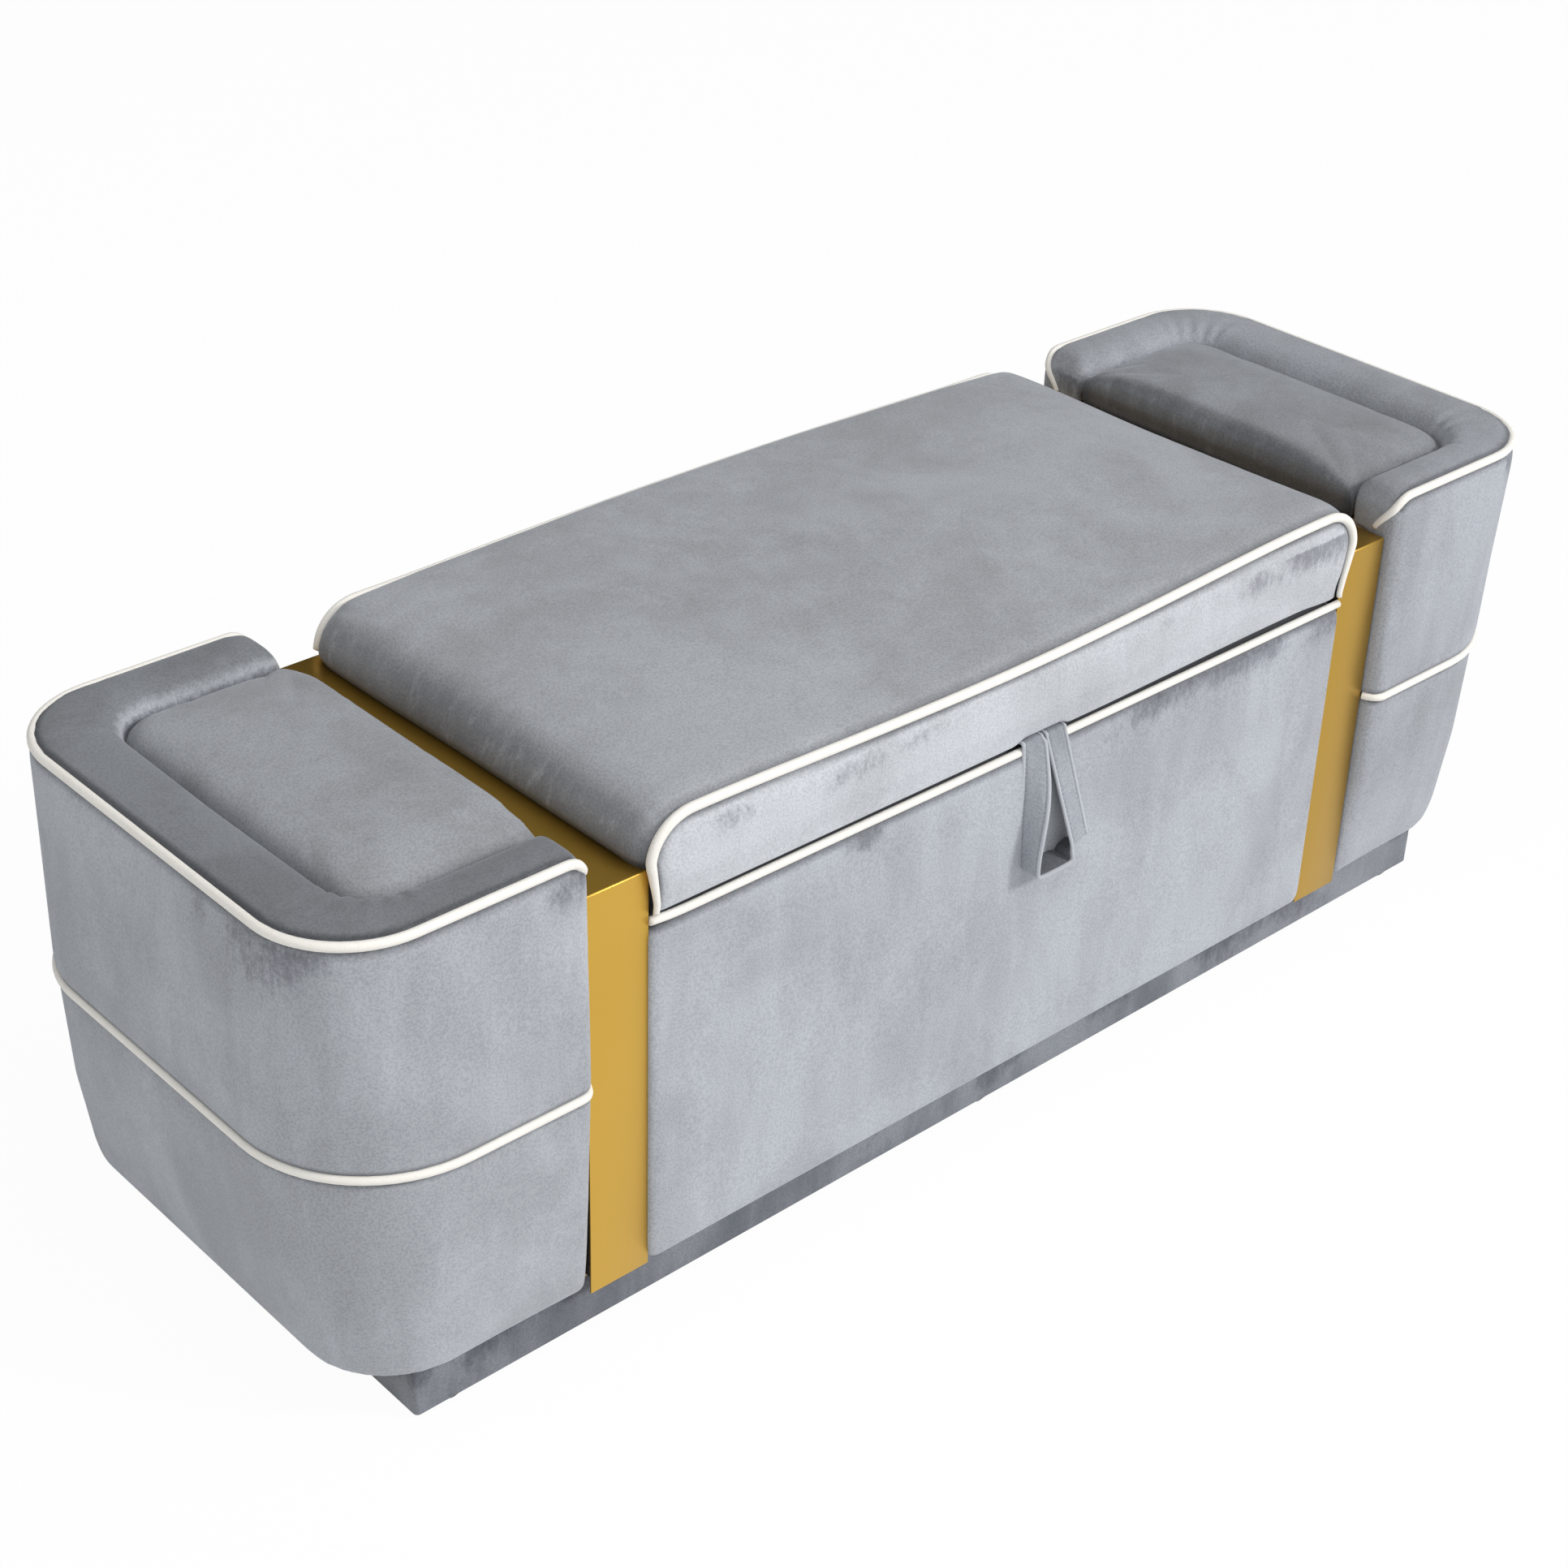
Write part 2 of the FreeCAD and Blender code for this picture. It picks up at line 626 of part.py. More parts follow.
def arm_covers(side, sign):
    """The soft pieces: lower and upper covers, both pipings, the rim and the inset pad."""
    base, seam = float(deck_z), float(belly_z)
    curve = float(foot_round)
    frame_core = prism(closed_wire(sign, base, *frame), rim_top - deck_z)
    edges, front, back = arm_wire(sign, seam, *belly, arm_inner + mid_piping_tuck)
    start_heading = edges[0].tangentAt(edges[0].FirstParameter)
    mid_cord = tube(edges, front, start_heading, piping_radius)

    lower = [(base + curve * up, inset(foot, curve * back)) for up, back in FOOT_CURVE]
    lower += [((base + seam) / 2, between(foot, belly, LOWER_SWELL)), (seam, belly)]
    lower_form = Part.makeLoft([closed_wire(sign, z, *shape) for z, shape in lower], True, True)
    keep(feature(f"{side}_arm_lower_cover", lower_form.cut(frame_core).cut(mid_cord)))
    keep(feature(f"{side}_arm_mid_piping", mid_cord))

    cap = float(rim_top - rim_cap)
    upper = [(seam, belly), ((seam + cap) / 2, between(belly, rim, UPPER_SWELL)), (cap, rim)]
    upper_form = Part.makeLoft([closed_wire(sign, z, *shape) for z, shape in upper], True, True)
    cord = top_cord(sign)
    upper_cover = upper_form.cut(mid_cord).cut(frame_core)
    keep(feature(f"{side}_arm_upper_cover", upper_cover))

    top = float(rim_top)
    bottom = float(arm_top)
    hollow = prism(closed_wire(sign, bottom, *well), rim_top - arm_top)
    ring = prism(closed_wire(sign, cap, *rim), rim_cap).cut(hollow)
    ring = ring.makeFillet(float(rim_roll), [edge for edge in ring.Edges if on_well_edge(edge, top)])
    seat = prism(closed_wire(sign, bottom, *frame), rim_top - rim_cap - arm_top).cut(hollow)
    ring = ring.fuse(seat).removeSplitter().cut(end_roll_tool(sign)).cut(cord)
    keep(feature(f"{side}_arm_rim", ring))
    keep(feature(f"{side}_arm_top_piping", cord))

    pad_shape = inset(well, float(pad_gap))
    curve = float(pad_round)
    pad_z = float(arm_top + pad_thickness)
    rises = [(bottom + curve * up, inset(pad_shape, curve * back)) for up, back in PAD_FOOT_CURVE]
    rises += [(pad_z + curve * up, inset(pad_shape, curve * back)) for up, back in PAD_TOP_CURVE]
    rises.append((pad_z + float(pad_crown), inset(pad_shape, curve * PAD_CROWN_INSET)))
    pad_form = Part.makeLoft([closed_wire(sign, z, *shape) for z, shape in rises], True, True)
    keep(feature(f"{side}_arm_pad", pad_form))


def on_well_edge(edge, top):
    """True for the rim's inner top edges: at the top, and inside the outline of the well."""
    middle = edge.valueAt((edge.FirstParameter + edge.LastParameter) / 2)
    ends = [vertex.Point.z for vertex in edge.Vertexes]
    if any(abs(z - top) > 0.01 for z in ends):
        return False
    reach = abs(middle.x) - float(band_outer)
    inside_x = reach < float(well_reach) + 0.01
    inside_y = abs(middle.y) < float(well_half) + 0.01
    return inside_x and inside_y and abs(middle.x) > float(arm_inner) + 0.01


def end_roll_tool(sign):
    """What is cut away to roll the rim's ends down to the band."""
    roll = float(rim_end_roll)
    wide = float(belly_half) * 2
    top = float(rim_top)
    x = sign * float(arm_inner)
    near = min(x, x + sign * roll)
    slab = Part.makeBox(roll, wide, roll, Vector(near, -wide / 2, top - roll))
    bar = Part.makeCylinder(roll, wide, Vector(x + sign * roll, -wide / 2, top - roll), Vector(0, 1, 0))
    return slab.cut(bar)


for side, sign in (("left", -1), ("right", 1)):
    arm_boards(side, sign)
    arm_covers(side, sign)

# Lid: a board under a crowned cushion whose front edge is pulled down, with piping round both ends
def lid_edges(y, crown):
    """Edges of the cushion's outline at one depth, from low left over the top to low right.

    The top is an arc of radius crown, hollow if that is below 0, and the corners run into it smoothly.
    """
    half, side, corner = float(lid_half), float(lid_side), float(lid_corner)
    corner_x = half - corner
    reach = crown - corner
    drop = math.sqrt(reach * reach - corner_x * corner_x)
    crown_x = corner_x * crown / reach
    crown_z = side + corner * drop / abs(reach)
    crown_top = side + crown - math.copysign(drop, crown)
    lean = corner * math.sqrt(0.5)

    def spot(x, z):
        return Vector(x, float(y), float(lid_z) + z)

    low = float(top_piping_radius)
    left_side, right_side = spot(-half, side), spot(half, side)
    left_end, right_end = spot(-crown_x, crown_z), spot(crown_x, crown_z)
    edges = [Part.LineSegment(spot(-half, low), left_side),
             Part.Arc(left_side, spot(-corner_x - lean, side + lean), left_end),
             Part.Arc(left_end, spot(0, crown_top), right_end),
             Part.Arc(right_end, spot(corner_x + lean, side + lean), right_side),
             Part.LineSegment(right_side, spot(half, low))]
    return [edge.toShape() for edge in edges]


def lid_section(y, crown):
    edges = lid_edges(y, crown)
    half, low = float(lid_half), float(lid_z)
    start, stop = edges[0].Vertexes[0].Point, edges[-1].Vertexes[1].Point
    left, right = Vector(-half, float(y), low), Vector(half, float(y), low)
    closing = [Part.LineSegment(a, b).toShape() for a, b in ((stop, right), (right, left), (left, start))]
    return Part.Wire(edges + closing)


def lid_cord(label, y, crown):
    edges = lid_edges(y, crown)
    start = edges[0].Vertexes[0].Point
    return feature(label, tube(edges, start, Vector(0, 0, 1), top_piping_radius))


full_crown = float(lid_crown_radius)
front_sag = -float(lid_front_sag_radius)
sections = [(-band_half, front_sag), (lid_crown_setback - band_half, full_crown), (band_half, full_crown)]
lid_form = feature("lid_form", Part.makeLoft([lid_section(*section) for section in sections], True, True))
board_half = lid_half - lid_board_margin
board_depth_half = band_half - lid_board_margin
lid_board = keep(padded("lid_board", "XY_Plane", [rectangle(board_half, board_depth_half)],
                        lid_board_thickness, (0, 0, lid_z)))
lid_front_cord = lid_cord("lid_front_piping", -band_half, front_sag)
lid_back_cord = lid_cord("lid_back_piping", band_half, full_crown)
keep(cut("lid_cushion", lid_form, lid_board, lid_front_cord, lid_back_cord))
keep(lid_front_cord)
keep(lid_back_cord)
keep(block("lid_dust_cover", (dust_margin - board_half, dust_margin - board_depth_half, lid_z - dust_cloth),
           (board_half - dust_margin, board_depth_half - dust_margin, lid_z)))

bumper_end = half_box - bumper_inset
bumper_y = wall_thickness / 2 - frame_half
bumper_places = (-bumper_end, -bumper_spread, bumper_spread, bumper_end)
bumpers = [rod(f"bumper_{number}", (x, bumper_y, wall_top), bumper_radius, lid_gap - bumper_relief, "Z")
           for number, x in enumerate(bumper_places)]
keep(group("lid_bumpers", bumpers))


# Butt hinges: a leaf on the back wall, a leaf under the lid, and a pin through their knuckles
def leaf(label, x, plate_z, spans):
    """A plate with a knuckle round the pin for each span of X."""
    root_y = hinge_y - barrel_radius - barrel_relief
    members = [block(f"{label}_plate", (x - hinge_width / 2, root_y - hinge_leaf, plate_z),
                     (x + hinge_width / 2, root_y, plate_z + leaf_gauge))]
    for number, (start, stop) in enumerate(spans):
        members.append(block(f"{label}_tongue_{number}", (x + start, root_y, plate_z),
                             (x + stop, hinge_y, plate_z + leaf_gauge)))
        members.append(rod(f"{label}_knuckle_{number}", (x + start, hinge_y, hinge_z), barrel_radius,
                           stop - start, "X"))
    bore = rod(f"{label}_bore", (x - hinge_width, hinge_y, hinge_z), pin_radius + running_fit,
               hinge_width * 2, "X")
    return cut(label, fuse(f"{label}_whole", members), bore)


box_leaves = []
lid_leaves = []
pins = []
# The lid's knuckle takes the middle third of the barrel
knuckle_half = hinge_width / 3 / 2
for number, share in enumerate((-1, 0, 1)):
    x = hinge_offset * share
    box_knuckle = knuckle_half + knuckle_gap / 2
    lid_knuckle = knuckle_half - knuckle_gap / 2
    box_spans = [(-hinge_width / 2, -box_knuckle), (box_knuckle, hinge_width / 2)]
    box_leaves.append(leaf(f"box_leaf_{number}", x, wall_top, box_spans))
    lid_leaves.append(leaf(f"lid_leaf_{number}", x, lid_z - leaf_gauge, [(-lid_knuckle, lid_knuckle)]))
    pin_start = (x - hinge_width / 2, hinge_y, hinge_z)
    pins.append(rod(f"pin_{number}", pin_start, pin_radius, hinge_width, "X"))
keep(group("hinge_box_leaves", box_leaves))
keep(group("hinge_lid_leaves", lid_leaves))
keep(group("hinge_pins", pins))

# Folding stays: hinge line, wall pivot, knee and lid pivot make a rhombus, so the links turn evenly
lid_pivot_y = hinge_y - (stay_length * stay_length - stay_lid_drop * stay_lid_drop).root()
lid_pivot_z = hinge_z - stay_lid_drop
wall_pivot_y = hinge_y - (stay_length * stay_length - stay_wall_drop * stay_wall_drop).root()
wall_pivot_z = hinge_z - stay_wall_drop
knee_y = wall_pivot_y + lid_pivot_y - hinge_y
knee_z = wall_pivot_z + lid_pivot_z - hinge_z

# Distances from the middle of the bench to the faces of each layer of a stay, outermost first
wall_plate = inner_half - lining_thickness
lower_face = wall_plate - bracket_gauge - stay_gap
upper_face = lower_face - stay_gauge - stay_gap
flange_face = upper_face - stay_gauge - stay_gap
flange_inner = flange_face - bracket_gauge


def pivot_pin(label, sign, y, z, outer, inner, head_outer, head_inner):
    """A rivet: a shank between two distances from the middle, and a head."""
    low, high = across_bench(sign, outer, inner)
    shank = rod(f"{label}_shank", (low, y, z), stay_pin_radius, high - low, "X")
    low, high = across_bench(sign, head_outer, head_inner)
    head = rod(f"{label}_head", (low, y, z), stay_head_radius, high - low, "X")
    return [shank, head]


def link(label, sign, start, stop, outer_face, holes):
    """A flat bar with round ends between two pivots, at its place in a stay."""
    half = stay_width / 2
    outline = [(0, -half, None), (stay_length, -half, half), (stay_length + half, 0, half),
               (stay_length, half, None), (0, half, half), (-half, 0, half)]
    low, high = across_bench(sign, outer_face, outer_face - stay_gauge)
    bar = padded(label, "XY_Plane", [outline], stay_gauge, (low, start[0], start[1]), holes)
    along = Vector(0, float(stop[0] - start[0]), float(stop[1] - start[1])).normalize()
    out = Vector(1, 0, 0)
    bar.Placement.Rotation = FreeCAD.Rotation(along, out.cross(along), out, "XYZ")
    return bar


wall_brackets = []
lid_brackets = []
pin_hole = stay_pin_radius + running_fit
for side, sign in (("left", -1), ("right", 1)):
    wall_pivot = (wall_pivot_y, wall_pivot_z)
    lid_pivot = (lid_pivot_y, lid_pivot_z)
    knee = (knee_y, knee_z)
    low, high = across_bench(sign, wall_plate, wall_plate - bracket_gauge)
    plate = block(f"{side}_wall_plate",
                  (low, wall_pivot_y - bracket_width / 2, wall_pivot_z - bracket_width / 2),
                  (high, wall_pivot_y + bracket_width / 2, wall_pivot_z + bracket_margin))
    inner_side = lower_face - stay_gauge - running_fit
    rivet = pivot_pin(f"{side}_wall_pin", sign, *wall_pivot, wall_plate, inner_side - stay_head / 2,
                      inner_side, inner_side - stay_head)
    wall_brackets.append(fuse(f"{side}_wall_bracket", [plate] + rivet))

    lower_bar = link(f"{side}_lower_bar", sign, wall_pivot, knee, lower_face, [(0, 0, pin_hole)])
    inner_side = upper_face - stay_gauge - running_fit
    rivet = pivot_pin(f"{side}_knee_pin", sign, *knee, lower_face, inner_side - stay_head / 2,
                      inner_side, inner_side - stay_head)
    keep(fuse(f"{side}_stay_lower_link", [lower_bar] + rivet))

    keep(link(f"{side}_stay_upper_link", sign, knee, lid_pivot, upper_face,
              [(0, 0, pin_hole), (stay_length, 0, pin_hole)]))

    top_z = lid_z - lid_pivot_z + bracket_margin
    angle = [(0, 0), (bracket_gauge, 0), (bracket_gauge, top_z - bracket_gauge),
             (bracket_gauge + bracket_flange, top_z - bracket_gauge),
             (bracket_gauge + bracket_flange, top_z), (0, top_z)]
    if sign > 0:
        angle = [(-u, v) for u, v in reversed(angle)]
    outline = [(u, v, None) for u, v in angle]
    bracket = padded(f"{side}_lid_angle", "XZ_Plane", [outline], bracket_width,
                     (flange_face * sign, lid_pivot_y + bracket_width / 2, lid_pivot_z - bracket_margin))
    outer_side = upper_face + running_fit
    rivet = pivot_pin(f"{side}_lid_pin", sign, *lid_pivot, outer_side + stay_head / 2, flange_inner,
                      outer_side + stay_head, outer_side)
    lid_brackets.append(fuse(f"{side}_lid_bracket", [bracket] + rivet))
keep(group("stay_wall_brackets", wall_brackets))
keep(group("stay_lid_brackets", lid_brackets))

# Pull strap: two tabs under the lid's front edge, a clamp over them, and the loop that hangs down
strap_y = -band_half - strap_stand - strap_gauge / 2
strap_z = lid_z - strap_gauge / 2
leg_x = strap_width / 2 + strap_split / 2
tab_y = strap_y + tab_relief
tabs = []
for number, sign in enumerate((-1, 1)):
    middle = strap_offset + leg_x * sign
    tabs.append(block(f"strap_tab_{number}", (middle - strap_width / 2, tab_y, lid_z - strap_gauge),
                      (middle + strap_width / 2, tab_y + strap_tab, lid_z)))
keep(group("strap_tabs", tabs))
clamp_y = tab_y + clamp_setback
clamp_top = lid_z - strap_gauge
keep(block("strap_clamp", (strap_offset - clamp_length / 2, clamp_y, clamp_top - clamp_gauge),
           (strap_offset + clamp_length / 2, clamp_y + clamp_width, clamp_top)))

# The left leg turns edge-on over its whole length; the right one leans, and turns at its foot
LEG_STEPS = 10
BOTTOM_STEPS = 10
RIGHT_LEAN = math.radians(32)
RIGHT_FOOT = 0.78
# Power of the bottom's outline: 2 is a half round, and more is flatter with tighter corners
BOTTOM_POWER = 3.0


def ease(share):
    share = min(max(share, 0.0), 1.0)
    return share * share * (3 - 2 * share)


def strap_section(front_edge, across, thick):
    """A flat rectangle across the ribbon, from its front edge."""
    wide = across * float(strap_width)
    deep = thick * float(strap_gauge / 2)
    corners = [front_edge - deep, front_edge + wide - deep, front_edge + wide + deep, front_edge + deep]
    return Part.makePolygon(corners + corners[:1])


def strap_leg(sign, low_x, low_z):
    """Sections of one leg from the lid down, its front edge on the way to low_x and low_z."""
    high_x = float(strap_offset) + sign * float(strap_split / 2)
    high_z = float(strap_z - strap_hang)
    stand_out = float(strap_width - strap_gauge / 2)
    leg = []
    for step in range(LEG_STEPS + 1):
        share = step / LEG_STEPS
        if sign < 0:
            turn = math.pi / 2 * ease(share)
            out = math.sin(turn)
        else:
            lean = RIGHT_LEAN * ease(share / RIGHT_FOOT)
            turn = lean + (math.pi / 2 - RIGHT_LEAN) * ease((share - RIGHT_FOOT) / (1 - RIGHT_FOOT))
            out = share
        spot = Vector(high_x + (low_x - high_x) * share, float(strap_y) - stand_out * out,
                      high_z + (low_z - high_z) * share)
        across = Vector(sign * math.cos(turn), math.sin(turn), 0)
        thick = Vector(sign * math.sin(turn), -math.cos(turn), 0)
        leg.append(strap_section(spot, across, thick))
    return leg


def strap_loop():
    """The ribbon hangs from the lid as a loop that is open to a finger from the front."""
    half = float(strap_opening / 2)
    sag = float(strap_sag)
    middle_x = float(strap_offset + strap_sway)
    low_z = float(strap_z - strap_drop + strap_gauge / 2) + sag
    front_y = float(strap_y - strap_width + strap_gauge / 2)
    bottom = []
    for step in range(1, BOTTOM_STEPS):
        angle = math.pi * step / BOTTOM_STEPS
        x, z = -math.cos(angle), -math.sin(angle)
        flat_x = math.copysign(abs(x) ** (2 / BOTTOM_POWER), x)
        flat_z = math.copysign(abs(z) ** (2 / BOTTOM_POWER), z)
        inward = Vector(-abs(x) ** (2 - 2 / BOTTOM_POWER) * math.copysign(1 / half, x), 0,
                        -abs(z) ** (2 - 2 / BOTTOM_POWER) * math.copysign(1 / sag, z)).normalize()
        spot = Vector(middle_x + half * flat_x, front_y, low_z + sag * flat_z)
        bottom.append(strap_section(spot, Vector(0, 1, 0), -inward))
    left = strap_leg(-1, middle_x - half, low_z)
    right = strap_leg(1, middle_x + half, low_z)
    return Part.makeLoft(left + bottom + right[::-1], True, True)


keep(feature("pull_strap", strap_loop()))

# Everything is checked before any file is written
doc.recompute()
for thing in doc.Objects:
    if "Invalid" in thing.State or "Error" in thing.State:
        raise RuntimeError(f"{thing.Label} did not build: {thing.State}")
for node in nodes:
    if node.Shape.isNull() or not node.Shape.isValid() or not node.Shape.Solids:
        raise RuntimeError(f"{node.Label} has no valid solid")

os.makedirs("parts", exist_ok=True)
for node in nodes:
    node.Shape.exportStep(f"parts/{node.Label}.step")
print(len(nodes), "pieces")
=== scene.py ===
import json
import math

import bpy
import numpy as np
from mathutils import Matrix, Vector, noise
from mathutils.bvhtree import BVHTree

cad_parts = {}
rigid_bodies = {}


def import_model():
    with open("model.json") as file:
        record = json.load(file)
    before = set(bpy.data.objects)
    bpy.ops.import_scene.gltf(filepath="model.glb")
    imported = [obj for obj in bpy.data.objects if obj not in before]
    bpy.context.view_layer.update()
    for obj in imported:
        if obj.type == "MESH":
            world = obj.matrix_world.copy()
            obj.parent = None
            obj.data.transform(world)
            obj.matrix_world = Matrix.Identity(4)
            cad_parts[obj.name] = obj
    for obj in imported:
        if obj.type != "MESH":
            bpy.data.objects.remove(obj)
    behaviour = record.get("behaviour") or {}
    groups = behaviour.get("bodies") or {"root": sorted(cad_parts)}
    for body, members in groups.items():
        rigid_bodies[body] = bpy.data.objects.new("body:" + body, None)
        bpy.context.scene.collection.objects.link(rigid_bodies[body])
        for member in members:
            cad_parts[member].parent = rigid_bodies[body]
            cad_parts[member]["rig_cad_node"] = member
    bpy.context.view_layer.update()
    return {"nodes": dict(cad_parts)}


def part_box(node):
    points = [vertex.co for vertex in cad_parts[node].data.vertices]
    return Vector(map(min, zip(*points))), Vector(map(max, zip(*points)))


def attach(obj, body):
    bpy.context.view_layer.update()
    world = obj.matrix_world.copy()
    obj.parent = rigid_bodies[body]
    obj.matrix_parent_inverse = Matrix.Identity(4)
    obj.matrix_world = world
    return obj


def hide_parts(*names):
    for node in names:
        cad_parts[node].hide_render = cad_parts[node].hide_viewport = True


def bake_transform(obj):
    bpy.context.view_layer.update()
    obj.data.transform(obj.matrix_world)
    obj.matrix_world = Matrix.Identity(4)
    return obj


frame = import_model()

nodes = frame["nodes"]


# Glides: six moulded plastic feet, nailed under the long rails of the plinth so that
# the cover never drags on the floor. A dull, finely grained black-grey plastic.
class Field:
    """A value that changes over a surface: a socket whose arithmetic adds Math nodes."""

    def __init__(self, graph, socket):
        self.graph = graph
        self.socket = socket

    def joined(self, operation, first, second):
        return self.graph.node("ShaderNodeMath", {"operation": operation}, {0: first, 1: second})

    def __add__(self, other):
        return self.joined("ADD", self, other)

    def __sub__(self, other):
        return self.joined("SUBTRACT", self, other)

    def __rsub__(self, other):
        return self.joined("SUBTRACT", other, self)

    def __mul__(self, other):
        return self.joined("MULTIPLY", self, other)


class Graph:
    """A node tree, whose nodes are added with their settings, and with values or fields as inputs."""

    def __init__(self, tree):
        self.tree = tree

    def node(self, kind, settings, values, output=0):
        made = self.tree.nodes.new(kind)
        for name, value in settings.items():
            setattr(made, name, value)
        for socket, value in values.items():
            if isinstance(value, Field):
                self.tree.links.new(value.socket, made.inputs[socket])
            else:
                made.inputs[socket].default_value = value
        return Field(self, made.outputs[output])


class Paint(Graph):
    """One material: its shader with the fixed values, and the nodes that feed it."""

    def __init__(self, name, **fixed):
        self.material = bpy.data.materials.new(name)
        self.material.use_nodes = True
        super().__init__(self.material.node_tree)
        self.shader = self.tree.nodes["Principled BSDF"]
        for socket, value in fixed.items():
            self.shader.inputs[socket.replace("_", " ")].default_value = value
        self.place = self.node("ShaderNodeTexCoord", {}, {}, "Object")

    def feed(self, socket, field):
        self.tree.links.new(field.socket, self.shader.inputs[socket])

    def coordinate(self, axis, of=None):
        """X, Y or Z of a field of vectors, or of the place on the piece."""
        return self.node("ShaderNodeSeparateXYZ", {}, {0: of or self.place}, axis)

    def tinted(self, share, first, second):
        """Gives the shader a colour between two."""
        self.feed("Base Color", self.blended(share, first, second))

    def cloud(self, scale, detail=2.0, where=None, roughness=0.5, distortion=0.0):
        values = {"Vector": where or self.place, "Scale": scale, "Detail": detail,
                  "Roughness": roughness, "Distortion": distortion}
        return self.node("ShaderNodeTexNoise", {}, values, "Fac")

    def stretched(self, scale):
        return self.node("ShaderNodeMapping", {}, {"Vector": self.place, "Scale": scale}, "Vector")

    def step(self, field, low, high):
        """Rises smoothly from 0 at low to 1 at high."""
        return self.node("ShaderNodeMapRange", {"interpolation_type": "SMOOTHSTEP"},
                         {"Value": field, "From Min": low, "From Max": high}, "Result")

    def blended(self, share, first, second):
        """A colour between two, which are colours or fields of colour."""
        ends = [c if isinstance(c, Field) else (*c, 1) for c in (first, second)]
        return self.node("ShaderNodeMix", {"data_type": "RGBA"}, {0: share, 6: ends[0], 7: ends[1]}, 2)

    def dimmed(self, share, colour, by):
        """A colour multiplied by another in the given share."""
        return self.node("ShaderNodeMix", {"data_type": "RGBA", "blend_type": "MULTIPLY"},
                         {0: share, 6: colour, 7: (*by, 1)}, 2)

    def relief(self, height, distance):
        made = self.node("ShaderNodeBump", {}, {"Height": height, "Distance": distance}, "Normal")
        self.feed("Normal", made)


def dress(piece, paint):
    """Gives a piece, or a CAD node, one material all over."""
    if "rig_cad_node" in piece:
        for holder in piece.material_slots:
            holder.material = paint.material
    else:
        piece.data.materials.clear()
        piece.data.materials.append(paint.material)


def placed(piece, paint, body, slot, *stands_for):
    """Finishes a piece: its material, the body it rides on and the nodes it stands for; its slot is not
    used.
    """
    dress(piece, paint)
    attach(piece, body)
    if stands_for:
        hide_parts(*stands_for)


glide_plastic = Paint("glide_plastic", Roughness=0.6)
speckle = glide_plastic.cloud(700.0, 2.0)
glide_plastic.tinted(speckle, (0.015, 0.015, 0.016), (0.05, 0.05, 0.053))
glide_plastic.relief(speckle, 0.0002)
dress(nodes["glides"], glide_plastic)

# Timber frame: pine rails and posts and plywood boards under the cloth, in plain sawn wood.
# The bands' frames are painted near-black, as painted shade, because they show in the slits beside the
# bands.
timber = Paint("timber", Roughness=0.7)
long_grain = timber.stretched((2.0, 60.0, 60.0))
rings = timber.cloud(1.0, 6.0, long_grain, 0.6, 1.2)
pores = timber.cloud(6.0, 3.0, long_grain)
wood = timber.blended(timber.step(rings, 0.3, 0.7), (0.42, 0.27, 0.14), (0.62, 0.45, 0.27))
timber.tinted(timber.step(pores, 0.62, 0.75) * 0.5, wood, (0.22, 0.13, 0.06))
timber.relief(rings * 0.6 + pores * 0.4, 0.0004)
arm_boards = ("front_board", "back_board", "end_board", "corner_posts", "top_board")
for name in ("plinth_front_rail", "plinth_back_rail", "plinth_cross_rails", "base_deck", "lid_board"):
    dress(nodes[name], timber)
for wall in ("front", "back", "left", "right"):
    dress(nodes[f"storage_{wall}_wall"], timber)
# Painted shade: the near-black paint stands for the shade in the slits beside the bands.
slit_shade_paint = Paint("black_slit_shade", Roughness=0.6)
slit_shade_grain = slit_shade_paint.cloud(1.0, 5.0, slit_shade_paint.stretched((60.0, 60.0, 3.0)), 0.6, 1.0)
slit_shade_paint.tinted(slit_shade_grain, (0.010, 0.009, 0.008), (0.030, 0.026, 0.022))
for side in ("left", "right"):
    dress(nodes[f"{side}_band_frame"], slit_shade_paint)
    for board in arm_boards:
        dress(nodes[f"{side}_arm_{board}"], timber)


# Plinth sleeve: one strip of the velvet pulled tight round the rails of the plinth.
# Its velvet is painted darker than the rest, as painted shade, and its corners stay crisp.
def only(piece):
    """Leaves edit mode, selects one object alone and makes it the active one."""
    if bpy.context.mode != "OBJECT":
        bpy.ops.object.mode_set(mode="OBJECT")
    bpy.ops.object.select_all(action="DESELECT")
    piece.select_set(True)
    bpy.context.view_layer.objects.active = piece


def added(primitive, **settings):
    """Adds a primitive with nothing else selected."""
    bpy.ops.object.select_all(action="DESELECT")
    primitive(**settings)
    return bpy.context.active_object


def block(name, low, high):
    """A box added at its size and place, which go into its mesh."""
    piece = added(bpy.ops.mesh.primitive_cube_add, size=1, location=(Vector(low) + Vector(high)) / 2)
    piece.name = piece.data.name = name
    piece.scale = Vector(high) - Vector(low)
    bpy.ops.object.transform_apply(location=True, rotation=False, scale=True)
    return piece


def pick(piece, kind, test):
    """Selects the faces (middle, normal) or edges (start, stop) that pass a test, in edit mode."""
    only(piece)
    bpy.context.tool_settings.mesh_select_mode = (False, kind == "EDGE", kind == "FACE")
    bpy.ops.object.mode_set(mode="EDIT")
    bpy.ops.mesh.select_all(action="DESELECT")
    bpy.ops.object.mode_set(mode="OBJECT")
    mesh = piece.data
    if kind == "FACE":
        for face in mesh.polygons:
            face.select = bool(test(face.center, face.normal))
    else:
        for edge in mesh.edges:
            edge.select = bool(test(*[mesh.vertices[i].co for i in edge.vertices]))
    bpy.ops.object.mode_set(mode="EDIT")


def cut_away(piece, test):
    """Deletes the faces that pass a test."""
    pick(piece, "FACE", test)
    bpy.ops.mesh.delete(type="FACE")


